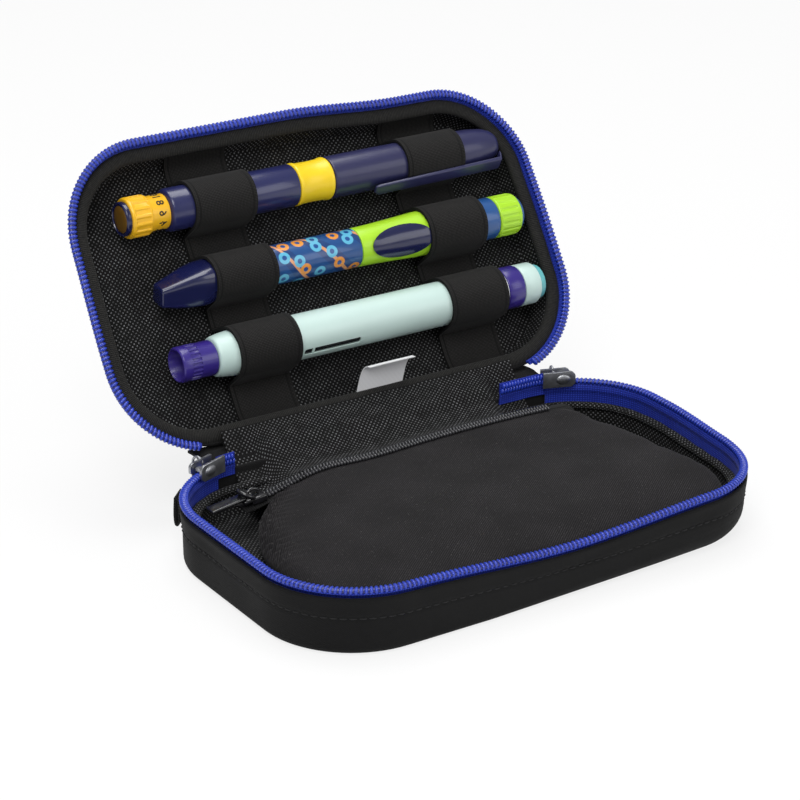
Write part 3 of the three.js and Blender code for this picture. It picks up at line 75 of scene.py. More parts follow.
def outline_stations(first=90, last=450, spacing=3.0, size=(CASE_LENGTH, CASE_WIDTH, CASE_CORNER)):
    """Points round a rounded rectangle, anticlockwise from above, each with its outward direction.

    First is an angle on the left rear corner and last one on the right rear corner.
    """
    length, width, corner = size
    signs = ((-1, 1), (-1, -1), (1, -1), (1, 1))
    middles = [Vector((sx * (length / 2 - corner), sy * (width / 2 - corner))) for sx, sy in signs]
    stations = []
    for place, middle in enumerate(middles):
        begin = first if place == 0 else 90 * (place + 1)
        finish = last if place == 3 else 90 * (place + 2)
        steps = math.ceil(corner * math.radians(finish - begin) / spacing)
        for step in range(steps + 1):
            angle = math.radians(begin + (finish - begin) * step / steps)
            outward = Vector((math.cos(angle), math.sin(angle)))
            stations.append((middle + corner * outward, outward))
        if finish == 90 * (place + 2):
            here = stations[-1][0]
            ahead = middles[(place + 1) % 4] + corner * outward
            count = math.ceil((ahead - here).length / spacing)
            stations += [(here.lerp(ahead, step / count), outward) for step in range(1, count)]
    return stations


def add_mesh(name, points, faces, uvs):
    """A new piece from points in millimetres, with one UV pair in metres for each face corner."""
    mesh = bpy.data.meshes.new(name)
    mesh.from_pydata([[MM * value for value in point] for point in points], [], faces)
    layer = mesh.uv_layers.new(name="UVMap")
    layer.data.foreach_set("uv", [MM * value for pair in uvs for value in pair])
    piece = bpy.data.objects.new(name, mesh)
    bpy.context.collection.objects.link(piece)
    return piece


def runs(points):
    """The distance along a line of points, from its first one."""
    total = [0.0]
    for near, far in zip(points, points[1:]):
        total.append(total[-1] + (Vector(far) - Vector(near)).length)
    return total


def weave_grid(name, rows, loop=False, tube=False, measure=0):
    """Cloth through rows of points: loop joins the last row to the first, tube each row's ends.

    Measure is the place in a row where the run from row to row is taken for the UV map.
    """
    down = [row[measure] for row in rows] + ([rows[0][measure]] if loop else [])
    along = runs(down)
    across = runs(list(rows[0]) + ([rows[0][0]] if tube else []))
    wide = len(rows[0])
    faces = []
    uvs = []
    for i in range(len(along) - 1):
        for k in range(len(across) - 1):
            j = (i + 1) % len(rows)
            m = (k + 1) % wide
            faces.append((i * wide + k, j * wide + k, j * wide + m, i * wide + m))
            uvs += [(along[i], across[k]), (along[i + 1], across[k])]
            uvs += [(along[i + 1], across[k + 1]), (along[i], across[k + 1])]
    return add_mesh(name, [point for row in rows for point in row], faces, uvs)


def sew_round(name, stations, section, loop=True, tube=False):
    """Carry a section of (inset, height) points round the rim, measured along its outermost edge."""
    rows = [
        [(*(place - inset * outward), height) for inset, height in section]
        for place, outward in stations
    ]
    outermost = min(range(len(section)), key=lambda k: section[k][0])
    return weave_grid(name, rows, loop, tube, outermost)


def map_flat(piece, steep=0.7):
    """Map the level parts of a piece from above, so that a print keeps its scale there."""
    mesh = piece.data
    layer = mesh.uv_layers[0]
    for face in mesh.polygons:
        if abs(face.normal.z) > steep:
            for loop in face.loop_indices:
                layer.data[loop].uv = mesh.vertices[mesh.loops[loop].vertex_index].co.xy


def close_up(piece):
    """Fill what is open with flat panels, mapped from above, and turn the faces outwards."""
    shape = bmesh.new()
    shape.from_mesh(piece.data)
    layer = shape.loops.layers.uv.verify()
    for panel in bmesh.ops.holes_fill(shape, edges=shape.edges, sides=0)["faces"]:
        for corner in panel.loops:
            corner[layer].uv = corner.vert.co.xy
    bmesh.ops.recalc_face_normals(shape, faces=shape.faces)
    shape.to_mesh(piece.data)
    shape.free()


def clamp(value):
    """A value kept between 0 and 1."""
    return min(max(value, 0), 1)


def ease(value, start, end):
    """A smooth step from 0 to 1 while the value goes from start to end."""
    part = clamp((value - start) / (end - start))
    return part * part * (3 - 2 * part)


def settle_rim(piece):
    """Let the soft base settle: its front sinks towards the middle and one front corner draws in."""
    for vertex in piece.data.vertices:
        x, y, z = vertex.co / MM
        front = clamp((12 - y) / 70)
        sink = RIM_DIP * math.exp(-((x - 2) / 46) ** 2) * front
        vertex.co.z -= MM * sink * clamp((z - 4) / 18)
        drawn = CORNER_DRAW * clamp((x - 30) / 70) ** 2 * ease(y, 15, -35)
        vertex.co.x -= MM * drawn
        vertex.co.y += MM * 0.4 * drawn


def outwards(x, y):
    """The way out at a place: straight from the sides, and fanned out round the corners."""
    return Vector((x - max(-CORNER_X, min(CORNER_X, x)), y - max(-CORNER_Y, min(CORNER_Y, y)),
                   0)).normalized()


def select_only(*pieces):
    """Select these pieces alone and make the first one active."""
    bpy.ops.object.select_all(action="DESELECT")
    for piece in pieces:
        piece.select_set(True)
    bpy.context.view_layer.objects.active = pieces[0]


def smooth(piece, degrees=40):
    """Shade a piece smooth, apart from edges sharper than this angle."""
    select_only(piece)
    bpy.ops.object.shade_smooth_by_angle(angle=math.radians(degrees))


def add_modifier(piece, kind, **settings):
    """Put a modifier on a piece and apply it."""
    select_only(piece)
    modifier = piece.modifiers.new(kind, kind)
    for name, value in settings.items():
        setattr(modifier, name, value)
    bpy.ops.object.modifier_apply(modifier=modifier.name)


def thicken(piece, thickness, offset=0):
    """Give a sheet its thickness in millimetres, to both sides or, with an offset, to one."""
    add_modifier(piece, "SOLIDIFY", thickness=thickness * MM, offset=offset)


def ripple_up(piece, height, width, seed):
    """Lift a piece in soft ripples of a height and a width in millimetres."""
    for vertex in piece.data.vertices:
        x, y, _ = vertex.co / MM
        vertex.co.z += MM * height * noise.noise(Vector((x / width, y / width, seed)))


def linear(code):
    """An sRGB hex colour as the linear colour that a shader takes."""
    parts = [int(code[place:place + 2], 16) / 255 for place in (1, 3, 5)]
    return [c / 12.92 if c <= 0.04045 else ((c + 0.055) / 1.055) ** 2.4 for c in parts] + [1]


def add_node(material, kind, sockets=(), **settings):
    """Add a node with its settings, and set or link its inputs."""
    made = material.node_tree.nodes.new("ShaderNode" + kind)
    for name, value in settings.items():
        setattr(made, name, value)
    for socket, value in dict(sockets).items():
        if isinstance(value, bpy.types.NodeSocket):
            material.node_tree.links.new(value, made.inputs[socket])
        else:
            made.inputs[socket].default_value = value
    return made


def new_material(name, coordinates):
    """A node material, its surface shader and the coordinates that its textures follow."""
    material = bpy.data.materials.new(name)
    material.use_nodes = True
    place = add_node(material, "TexCoord").outputs[coordinates]
    return material, material.node_tree.nodes["Principled BSDF"], place


def clouds(material, place, scale, detail=2.0):
    """Soft noise of this scale, as a share from 0 to 1."""
    return add_node(material, "TexNoise", {
        "Vector": place, "Scale": scale, "Detail": detail}).outputs["Fac"]


def ribs_in(material, place, width, distortion, detail=2.0, detail_scale=1.0, **settings):
    """Ribs as woven into cloth, each a width in millimetres from the next."""
    return add_node(material, "TexWave", {
        "Vector": place, "Scale": WAVE_SCALE / (width * MM), "Distortion": distortion,
        "Detail": detail, "Detail Scale": detail_scale}, **settings).outputs["Fac"]


def maths(material, operation, *values):
    """Values put together by one operation."""
    return add_node(material, "Math", dict(enumerate(values)), operation=operation).outputs[0]


def ranged(material, value, start=(0, 1), to=(0, 1)):
    """A value carried over from one range to another, and kept inside it."""
    return add_node(material, "MapRange", {
        "Value": value, "From Min": start[0], "From Max": start[1],
        "To Min": to[0], "To Max": to[1]}).outputs["Result"]


def tones(material, share, dark, light):
    """Two tones mixed by a share: each is a hex colour, a linear one or another mix."""
    dark, light = (linear(tone) if isinstance(tone, str) else tone for tone in (dark, light))
    return add_node(material, "Mix", {
        "Factor": share, "A": dark, "B": light}, data_type="RGBA").outputs[2]


def finish(material, shader, colour, bump=None, strength=0.3, depth=0.2, **constants):
    """Give the shader its colour, its bump in millimetres of depth and its other constants."""
    links = material.node_tree.links
    if isinstance(colour, bpy.types.NodeSocket):
        links.new(colour, shader.inputs["Base Color"])
    else:
        shader.inputs["Base Color"].default_value = colour
    if bump is not None:
        relief = add_node(material, "Bump", {
            "Height": bump, "Strength": strength, "Distance": depth * MM})
        links.new(relief.outputs["Normal"], shader.inputs["Normal"])
    for name, value in constants.items():
        socket = shader.inputs[name.replace("_", " ")]
        if isinstance(value, bpy.types.NodeSocket):
            links.new(value, socket)
        else:
            socket.default_value = value
    return material


def clouded(name, scale, dark, light, detail=2.0, relief=None, gloss=None, **constants):
    """A plain material of two tones in small clouds, with relief and an uneven gloss if given."""
    material, shader, place = new_material(name, "Object")
    cloud = clouds(material, place, scale, detail)
    if gloss:
        constants["Roughness"] = ranged(material, cloud, to=gloss)
    tone = tones(material, cloud, dark, light)
    if relief:
        return finish(material, shader, tone, cloud, *relief, **constants)
    return finish(material, shader, tone, **constants)


def dress(piece, material, slot, body, *nodes):
    """Give a piece its material, its moving body and the CAD nodes that it stands for. The slot is not
    used.
    """
    piece.data.materials.clear()
    piece.data.materials.append(material)
    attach(piece, body)
    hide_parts(*nodes)


def softshell_twill(name, dark, light, thread=0.55, speckle=0.0):
    """Polyester softshell in a steep twill: fine diagonal ribs, a dull sheen, a few pale flecks."""
    material, shader, place = new_material(name, "UV")
    turned = add_node(material, "Mapping", {"Vector": place, "Rotation": (0, 0, math.radians(52))})
    ribs = ribs_in(material, turned.outputs["Vector"], thread, 0.6, 1.0, detail_scale=2.0)
    mix = maths(material, "MULTIPLY", ribs, clouds(material, place, 0.9 / (thread * MM)))
    wear = maths(material, "MULTIPLY", mix, clouds(material, place, 45.0, 3.0))
    colour = tones(material, ranged(material, wear, (0.02, 0.34)), dark, light)
    if speckle:
        fleck = clouds(material, place, 1.0 / (0.8 * MM), 1.0)
        bright = ranged(material, fleck, (0.66, 0.8), (0, speckle))
        colour = tones(material, bright, colour, "#8c8a88")
    return finish(material, shader, colour, mix, 0.35, 0.15, Roughness=0.9, Sheen_Weight=0.04,
                  Sheen_Roughness=0.5, Specular_IOR_Level=0.18)


def taper_at(height):
    """How far the base's wall has come in at a height."""
    return BASE_TAPER * (BASE_SHELL_TOP - height) / BASE_TAPER_RUN


def shell_section(fillet):
    """The base's wall as (inset, height) points: under the floor, round the foot, up and in again."""
    line = [(FLOOR_INSET, 0)]
    line += [(BASE_TAPER + fillet * (1 - math.sin(a)), fillet * (1 - math.cos(a))) for a in quarter]
    for z in (10, 11.6, 12.8, STITCH_HEIGHT, 14.4, 15.6, 17, 18.4, 19.6, 20.6):
        groove = 0.3 if z == STITCH_HEIGHT else 0
        line.append((taper_at(z) + groove, z))
    line += [(0.3, 21.0), (0.75, BASE_SHELL_TOP), (1.2, 21.0), (1.5, 20.4)]
    line += [(BASE_WALL + taper_at(z), z) for z in (17, 13, 9)]
    line += [(BASE_WALL + 9 - 7 * math.sin(a), 8.5 - 7 * math.cos(a)) for a in reversed(quarter)]
    return line + [(FLOOR_INSET, BASE_WALL)]


def finish_base(piece, degrees, material, slot, *nodes):
    """Let a base piece settle with the rim, close it and dress it."""
    settle_rim(piece)
    close_up(piece)
    smooth(piece, degrees)
    dress(piece, material, slot, "base", *nodes)


shell_twill = softshell_twill("black softshell twill", "#0b0b0c", "#1b1b1b")
rim = outline_stations()
quarter = [math.radians(9 * step) for step in range(11)]
rows = []
for place, outward in rim:
    fillet = FOOT_FILLET_LEFT + FOOT_FILLET_GAIN * clamp((place.x + 30) / 110)
    rows.append([(*(place - inset * outward), z) for inset, z in shell_section(fillet)])
base_shell = weave_grid("base_shell_cover", rows, loop=True, measure=20)
for vertex in base_shell.data.vertices:
    x, y, z = vertex.co / MM
    fold = noise.noise(Vector((x / 24, y / 24, z / 9))) * clamp((z - 3) / 8)
    vertex.co -= outwards(x, y) * MM * 0.8 * max(fold, 0) * (1 if z < 19 else 0.1)
finish_base(base_shell, 60, shell_twill, "shell_fabric", "base_shell", "base_foam")

# ---- Base stitching ----
# A row of top stitching runs round the wall below the turned-in rim: black polyester thread in short
# dashes that lie in a shallow groove, each one sunk at its ends where the needle went through.
STITCH_LENGTH = 2.6
STITCH_PITCH = 3.5

thread = clouded("black polyester sewing thread", 1 / (0.3 * MM), "#0e0e0f", "#272728",
                 relief=(0.4, 0.05), Roughness=0.7, Sheen_Weight=0.05, Specular_IOR_Level=0.25)


def new_primitive(kind, name, **settings):
    """Add a primitive with nothing else selected, and name it."""
    bpy.ops.object.select_all(action="DESELECT")
    getattr(bpy.ops.mesh, "primitive_" + kind + "_add")(**settings)
    piece = bpy.context.object
    piece.name = name
    bpy.ops.object.transform_apply(location=True, rotation=True, scale=True)
    return piece


def block(name, place, size):
    """A cuboid at a place and of a size in millimetres."""
    return new_primitive("cube", name, size=1, location=[value * MM for value in place],
                         scale=[value * MM for value in size])


def lay_along(name, model, places):
    """One piece from many copies of a small model, each moved by its own matrix."""
    corners = [vertex.co for vertex in model.data.vertices]
    sides = [tuple(face.vertices) for face in model.data.polygons]
    points = []
    faces = []
    for matrix in places:
        faces += [[len(points) + corner for corner in side] for side in sides]
        points += [matrix @ corner for corner in corners]
    mesh = bpy.data.meshes.new(name)
    mesh.from_pydata(points, [], faces)
    piece = bpy.data.objects.new(name, mesh)
    bpy.context.collection.objects.link(piece)
    return piece


def rim_frames(stations, inset, height):
    """Frames round the rim: x along it, y outwards and z up."""
    frames = []
    for place, outward in stations:
        x, y = place - inset * outward
        turn = math.atan2(outward.y, outward.x) - math.pi / 2
        frames.append(Matrix.Translation(Vector((x, y, height)) * MM)
                      @ Matrix.Rotation(turn, 4, "Z"))
    return frames


stitch = new_primitive("uv_sphere", "stitch", segments=6, ring_count=5, radius=0.5 * MM,
                       rotation=(0, math.pi / 2, 0))
for vertex in stitch.data.vertices:
    vertex.co.x *= STITCH_LENGTH
    vertex.co.y = vertex.co.y * 0.7 - 0.12 * MM * (vertex.co.x / MM / 1.3) ** 2
    vertex.co.z *= 0.62
inset = taper_at(STITCH_HEIGHT) + 0.2
base_stitching = lay_along(
    "base_stitching", stitch,
    rim_frames(outline_stations(spacing=STITCH_PITCH), inset, STITCH_HEIGHT))
settle_rim(base_stitching)
smooth(base_stitching, 80)
dress(base_stitching, thread, "binding_fabric", "base")

# ---- Base lining ----
# The inside of the tray: black polyester tricot with rows of pale grip dots printed on it, sewn to
# the zip tape along a soft rolled seam that runs all round under the rim.
DOT_PITCH = 1.3
DOT_RADIUS = 0.27
LINING_FLOOR = 5.9
LINING_TOP = 13.8

dotted_tricot, shader, place = new_material("dotted black tricot lining", "UV")
turned = add_node(dotted_tricot, "Mapping", {
    "Vector": place, "Rotation": (0, 0, math.radians(45)), "Scale": [1 / (DOT_PITCH * MM)] * 3})
cell = add_node(dotted_tricot, "VectorMath", {0: turned.outputs["Vector"]}, operation="FRACTION")
centred = add_node(dotted_tricot, "VectorMath", {0: cell.outputs[0], 1: (0.5, 0.5, 0)},
                   operation="SUBTRACT")
reach = add_node(dotted_tricot, "VectorMath", {0: centred.outputs[0]}, operation="LENGTH")
worn = clouds(dotted_tricot, place, 260.0)
dot_edge = DOT_RADIUS / DOT_PITCH
dot = ranged(dotted_tricot, reach.outputs["Value"], (dot_edge + 0.07, dot_edge - 0.05))
print_strength = ranged(dotted_tricot, worn, (0.3, 0.7), (0.2, 0.8))
inked = maths(dotted_tricot, "MULTIPLY", dot, print_strength)
knit = clouds(dotted_tricot, place, 1 / (0.5 * MM))
ground = tones(dotted_tricot, knit, "#060606", "#131313")
tone = tones(dotted_tricot, inked, ground, "#7e7f81")
height = maths(dotted_tricot, "ADD", knit, dot)
finish(dotted_tricot, shader, tone, height, 0.35, 0.12,
       Roughness=0.85, Sheen_Weight=0.03, Specular_IOR_Level=0.15)

section = [(FLOOR_INSET, 5.1)]
section += [(10.2 - 5 * math.sin(a), 10.1 - 5 * math.cos(a)) for a in quarter]
section += [(5.1, LINING_TOP - 0.3), (5.5, LINING_TOP), (5.95, LINING_TOP - 0.3)]
section += [(10.2 - 4.2 * math.sin(a), 10.1 - 4.2 * math.cos(a)) for a in reversed(quarter)]
section += [(FLOOR_INSET, LINING_FLOOR)]
base_lining = sew_round("base_lining_tricot", rim, section)
map_flat(base_lining)
finish_base(base_lining, 60, dotted_tricot, "lining_fabric", "base_lining")

section = [
    (5.1 + 2.0 * math.cos(math.radians(a)), 14.9 + 1.3 * math.sin(math.radians(a)))
    for a in range(0, 360, 24)
]
base_seam = sew_round("base_rolled_seam", rim, section, tube=True)
ripple_up(base_seam, 0.35, 7, 3.1)
finish_base(base_seam, 80, dotted_tricot, "lining_fabric", "base_binding")

# ---- Base zip tape ----
# The lower half of the zip: royal blue woven polyester tape that stands inside the rim, with the
# chain-stitched cord that holds the coil showing as a ridge along its upper edge.
ZIP_FIRST = 106
ZIP_LAST = 434
TAPE_FIRST = 103
TAPE_LAST = 437

blue_tape, shader, place = new_material("royal blue woven zip tape", "UV")
ribs = ribs_in(blue_tape, place, 1.0, 1.2, 1.0)
rows = ribs_in(blue_tape, place, 0.8, 0.8, bands_direction="Y")
herring = maths(blue_tape, "MULTIPLY", ribs, rows)
patch = clouds(blue_tape, place, 150.0)
lit = maths(blue_tape, "MULTIPLY", herring, patch)
lit = ranged(blue_tape, lit, (0, 0.45))
tone = tones(blue_tape, lit, "#15258a", "#2b46c2")
finish(blue_tape, shader, tone, herring, 0.5, 0.2,
       Roughness=0.7, Sheen_Weight=0.08, Sheen_Roughness=0.4, Specular_IOR_Level=0.3)

zip_rim = outline_stations(ZIP_FIRST, ZIP_LAST)
tape_rim = outline_stations(TAPE_FIRST, TAPE_LAST)
section = [
    (2.33, 14.1), (2.33, 21.6), (0.9, 22.2), (0.9, 22.9), (2.5, 23.0), (2.95, 22.2), (3.2, 21.2),
    (3.3, 20.5), (3.2, 19.8), (2.9, 19.4), (2.83, 18.5), (2.83, 16.5), (2.83, 14.1)]
base_tape = sew_round("base_tape", tape_rim, section, loop=False, tube=True)
finish_base(base_tape, 50, blue_tape, "blue_tape", "base_zip_tape")

# ---- Base zip coil ----
# The coil sewn along the tape's edge: one blue nylon thread wound into flattened turns that stand
# side by side across the rim, a little askew, over a cord that is coloured darker as painted shade
# in the gaps between the turns.
COIL_PITCH = 1.72
COIL_HEIGHT = 23.5

# The cord's darker blue is painted shade in the gaps between the turns, not a colour of its own.
blue_nylon, shade_darkened_cord = (
    clouded(name, 60.0, dark, light, gloss=(0.26, 0.4),
            IOR=1.53, Coat_Weight=0.15, Coat_Roughness=0.2)
    for name, dark, light in (("blue nylon zip coil", "#1d319e", "#2d48c4"),
                              ("blue zip cord darkened as painted shade", "#0d1252", "#151c70")))



def squarish(y, z):
    """How far a round section swells here to become a square with round corners."""
    return math.hypot(y, z) / max((abs(y) ** 3 + abs(z) ** 3) ** (1 / 3), 0.001)


tooth = new_primitive("uv_sphere", "zip_turn", segments=10, ring_count=6, radius=1 * MM,
                      rotation=(0, math.pi / 2, 0))
for vertex in tooth.data.vertices:
    x, y, z = vertex.co / MM
    boxy = squarish(y, z)
    y, z = 1.7 * y * boxy, 1.12 * z * boxy
    vertex.co = Vector((0.76 * x + 0.14 * y, y, z)) * MM


def join(name, *pieces):
    """Join pieces that are made as one."""
    select_only(*pieces)
    bpy.ops.object.join()
    pieces[0].name = name
    return pieces[0]


def zip_coil(name, height, inset):
    """A run of coil round the rim at this height and inset, with the cord inside its turns, coloured
    darker as painted shade between them.
    """
    frames = rim_frames(outline_stations(ZIP_FIRST, ZIP_LAST, COIL_PITCH), inset, height)
    coil = lay_along(name, tooth, frames)
    coil.data.materials.append(blue_nylon)
    ring = [(math.cos(math.radians(a)), math.sin(math.radians(a))) for a in range(0, 360, 45)]
    core = sew_round(name + "_core", zip_rim, [
        (inset + 1.35 * c, height + 0.8 * s) for c, s in ring], loop=False, tube=True)
    core.data.materials.append(shade_darkened_cord)
    close_up(core)
    join(name, coil, core)
    smooth(coil, 80)
    return coil


base_coil = zip_coil("base_coil", COIL_HEIGHT, 1.7)
settle_rim(base_coil)
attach(base_coil, "base")
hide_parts("base_zip_coil")

# ---- Gel pack ----
# The cold pack inside the pocket: a flat pillow of clear film, welded round its edge and filled with
# pale blue gel. It lies on the tray's floor, under the pocket cover.
POCKET_FOOT = 6.2
POCKET_FRONT = -50.4
POCKET_REAR = 37.4
POCKET_LEFT = [(-60, 37.4), (-67, 31), (-73.5, 23), (-78.5, 14), (-82, 4), (-83.6, -8), (-83.6, -22),
               (-82, -34), (-77.5, -42), (-71, -47.2), (-62, -50.4)]
POCKET_RIGHT = [(70, 37.4), (73.5, 33), (77, 24), (80, 10), (82.8, -8), (84.6, -22), (84.2, -32),
                (80.5, -40.5), (74, -46.5), (64, -50.4)]
ZIP_ARCH_RADIUS = 672.8
ZIP_ARCH_TOP = 30.0
POCKET_COIL_HEIGHT = 22.6


def curve_through(points, steps):
    """A smooth line through points, in equal numbers of steps."""
    line = []
    ends = [2 * Vector(points[0]) - Vector(points[1])] + [Vector(p) for p in points]
    ends.append(2 * Vector(points[-1]) - Vector(points[-2]))
    for a, b, c, d in zip(ends, ends[1:], ends[2:], ends[3:]):
        for step in range(steps):
            t = step / steps
            line.append(tuple(0.5 * (2 * b + (c - a) * t + (2 * a - 5 * b + 4 * c - d) * t * t
                                     + (3 * b - a - 3 * c + d) * t ** 3)))
    line.append(tuple(points[-1]))
    return line


def edge_at(line, y):
    """Where an edge of the pocket stands at a place from front to rear."""
    for (near_x, near_y), (far_x, far_y) in zip(line, line[1:]):
        if far_y <= y <= near_y:
            part = (near_y - y) / max(near_y - far_y, 1e-6)
            return near_x + (far_x - near_x) * part
    return line[0][0] if y > line[0][1] else line[-1][0]


def zip_height(x):
    """The pocket zip's height along it: an arch that falls to its slider, fuller near the slider."""
    fuller = 2.6 * math.exp(-((x + 40) / 17) ** 2)
    return POCKET_COIL_HEIGHT - (x - ZIP_ARCH_TOP) ** 2 / (2 * ZIP_ARCH_RADIUS) + fuller


def pocket_height(x, y):
    """The stuffed pocket's top: nearly level, low at its left end and front, up to the zip behind."""
    ends = 1 - min(abs(x) / 84, 1) ** 3 * (1.0 if x < 0 else 0.42)
    front = 1 - clamp((-8 - y) / 44) ** 3
    level = 14.9 + 5.6 * ends * front
    return level + (zip_height(x) - 0.75 - level) * ease(y, 18, POCKET_REAR)


def pillow(name, inset, lowered, across, along, foot):
    """A pillow over the tray's floor: a level top with rolled edges, and sides down to the floor."""
    left = curve_through(POCKET_LEFT, 6)
    right = curve_through(POCKET_RIGHT, 6)
    rows = []
    for step in range(along + 1):
        part = step / along
        part = 0.45 * part + 0.55 * (0.5 - 0.5 * math.cos(math.pi * part))
        y = POCKET_FRONT + (POCKET_REAR - POCKET_FRONT) * part
        first, last = edge_at(left, y) + inset, edge_at(right, y) - inset
        y += inset * (1 - 2 * part)
        row = []
        for k in range(across + 1):
            share = k / across
            share = 0.5 * share + 0.5 * (0.5 - 0.5 * math.cos(math.pi * share))
            x = first + (last - first) * share
            near = min(x - first, last - x, (y - POCKET_FRONT - inset) * 1.3)
            rolled = 2.6 * (1 - min(max(near, 0) / 5, 1)) ** 2
            row.append((x, y, pocket_height(x, y) - lowered - rolled))
        sides = [(first + 1.8, foot), (first + 0.7, 9.0), (first, 11.5)]
        row = [(x, y, z) for x, z in sides] + row
        row += [(x, y, z) for x, z in ((last, 11.5), (last - 0.7, 9.0), (last - 1.8, foot))]
        rows.append(row)
    front, rear = rows[0], rows[-1]
    for deep, z in ((0.8, 11.5), (1.6, foot)):
        rows.insert(0, [(x, y + deep, min(height, z)) for x, y, height in front])
        rows.append([(x, y - deep, min(height, z)) for x, y, height in rear])
    return weave_grid(name, rows)


gel_film = clouded("clear film over pale blue gel", 60.0, "#6fb2d8", "#b8ddec", 4.0,
                   relief=(0.3, 1.0), Roughness=0.25, Coat_Weight=0.5, IOR=1.4)
gel = pillow("gel_cold_pack", 7, 2.6, 36, 24, 6.4)
close_up(gel)
smooth(gel, 60)
dress(gel, gel_film, "gel", "base", "gel_pack")

# ---- Pocket cover ----
# The pocket over the gel pack: dark grey flecked twill with its rear edge sewn to the zip, finely
# gathered along its left end and hemmed along its right one, where the hem stands up in waves.
pocket_twill = softshell_twill("dark grey flecked twill", "#121112", "#302e30", 0.7, 0.2)
cover = pillow("pocket_cover", 0, 0, 84, 104, POCKET_FOOT)
left_edge = curve_through(POCKET_LEFT, 6)
right_edge = curve_through(POCKET_RIGHT, 6)
for vertex in cover.data.vertices:
    x, y, z = vertex.co / MM
    lift = clamp((z - 10) / 4)
    from_left = x - edge_at(left_edge, y)
    from_right = edge_at(right_edge, y) - x
    gathered = math.exp(-(max(from_left - 1, 0) / 7.5) ** 2) * clamp((y + 14) / 16)
    drift = 2.2 * noise.noise(Vector((x / 13, y / 13, 1.7)))
    gathers = 1.4 * gathered * math.sin(2 * math.pi * (y + 0.35 * x + drift) / 3.7)
    wave = math.exp(-(from_right / 6) ** 2) * clamp((y + 40) / 20)
    hem = 0.5 * math.exp(-((from_right - 2.2) / 0.9) ** 2)
    hem += 1.3 * noise.noise(Vector((3.3, y / 8, 4.2)))
    slack = 0.4 * noise.noise(Vector((x / 34, y / 16, 7.7)))
    vertex.co.z += MM * lift * (gathers + wave * hem + slack * clamp((34 - y) / 10))
close_up(cover)


def puff(piece, pressure, cap):
    """Let a sewn cover swell as cloth under a little pressure, held along its foot and its zip."""
    held = piece.vertex_groups.new(name="sewn")
    sewn = [v.index for v in piece.data.vertices if v.co.z < 13 * MM or v.co.y > 35 * MM]
    held.add(sewn, 1, "REPLACE")
    before = [vertex.co.copy() for vertex in piece.data.vertices]
    cloth = piece.modifiers.new("cloth", "CLOTH")
    cloth.settings.vertex_group_mass = "sewn"
    cloth.settings.use_pressure = True
    cloth.settings.uniform_pressure_force = pressure
    cloth.settings.effector_weights.gravity = 0
    cloth.settings.quality = 5
    cloth.settings.tension_stiffness = 25
    cloth.settings.bending_stiffness = 0.4
    for step in range(1, 13):
        bpy.context.scene.frame_set(step)
    bpy.ops.object.select_all(action="DESELECT")
    bpy.context.view_layer.objects.active = piece
    bpy.ops.object.modifier_apply(modifier="cloth")
    for vertex, old in zip(piece.data.vertices, before):
        move = vertex.co - old
        if move.length > cap * MM:
            vertex.co = old + move.normalized() * cap * MM
    piece.vertex_groups.clear()
    bpy.context.scene.frame_set(1)


puff(cover, 1.5, 0.8)
map_flat(cover, 0.35)
smooth(cover, 80)
dress(cover, pocket_twill, "lining_fabric", "base", "pocket_panel")

# ---- Pocket zip ----
# The pocket's zip: two strips of black woven tape either side of a glossy black coil that lies flat,
# falling to its slider at the left, with the two rows of turns meeting in the middle.
POCKET_ZIP_Y = 39.0
POCKET_TAPE_HALF = 71
POCKET_COIL_HALF = 62
POCKET_COIL_PITCH = 1.3

black_tape, shader, place = new_material("black woven zip tape", "UV")
ribs = ribs_in(black_tape, place, 0.8, 0.8)
tone = tones(black_tape, ribs, "#0b0b0b", "#202021")
finish(black_tape, shader, tone, ribs, 0.4, 0.15,
       Roughness=0.85, Sheen_Weight=0.04, Specular_IOR_Level=0.2)
for name, node, inner, outer, fall in (
        ("pocket_tape_front", "pocket_front_tape", 38.85, 35.6, 0.5),
        ("pocket_tape_rear", "pocket_rear_tape", 39.15, 44.0, 1.1)):
    rows = []
    for step in range(72):
        x = -POCKET_TAPE_HALF + 2 * POCKET_TAPE_HALF * step / 71
        row = []
        for part in range(6):
            y = inner + (outer - inner) * part / 5
            ripple = 0.15 * noise.noise(Vector((x / 8, y / 3, 0)))
            row.append((x, y, zip_height(x) - 1.2 + ripple - fall * (part / 5) ** 2))
        rows.append(row)
    tape = weave_grid(name, rows)
    thicken(tape, 0.5)
    smooth(tape, 60)
    dress(tape, black_tape, "black_coil", "base", node)

black_nylon = clouded("black nylon zip coil", 500.0, "#1b1b1d", "#4a4a4e",
                      Roughness=0.24, IOR=1.53, Coat_Weight=0.3)
turn = new_primitive("uv_sphere", "pocket_zip_turn", segments=8, ring_count=5, radius=1 * MM,
                     rotation=(0, math.pi / 2, 0))
for vertex in turn.data.vertices:
    x, y, z = vertex.co / MM
    boxy = squarish(y, z)
    vertex.co = Vector((0.56 * x + 0.2 * y, 1.2 * y * boxy, 0.8 * z * boxy)) * MM
places = []
for step in range(int(2 * POCKET_COIL_HALF / POCKET_COIL_PITCH)):
    for side in (-1, 1):
        x = -POCKET_COIL_HALF + (step + (0.5 if side > 0 else 0.0)) * POCKET_COIL_PITCH
        slope = math.atan2(zip_height(x + 1) - zip_height(x - 1), 2)
        middle = Vector((x, POCKET_ZIP_Y + side * 1.0, zip_height(x)))
        places.append(Matrix.Translation(middle * MM) @ Matrix.Rotation(-slope, 4, "Y")
                      @ Matrix.Rotation(side * math.radians(12), 4, "X")
                      @ Matrix.Diagonal((side, 1, 1, 1)))
pocket_coil = lay_along("pocket_coil", turn, places)
shape = bmesh.new()
shape.from_mesh(pocket_coil.data)
bmesh.ops.recalc_face_normals(shape, faces=shape.faces)
shape.to_mesh(pocket_coil.data)
shape.free()
smooth(pocket_coil, 80)
dress(pocket_coil, black_nylon, "black_coil", "base", "pocket_zip_coil")

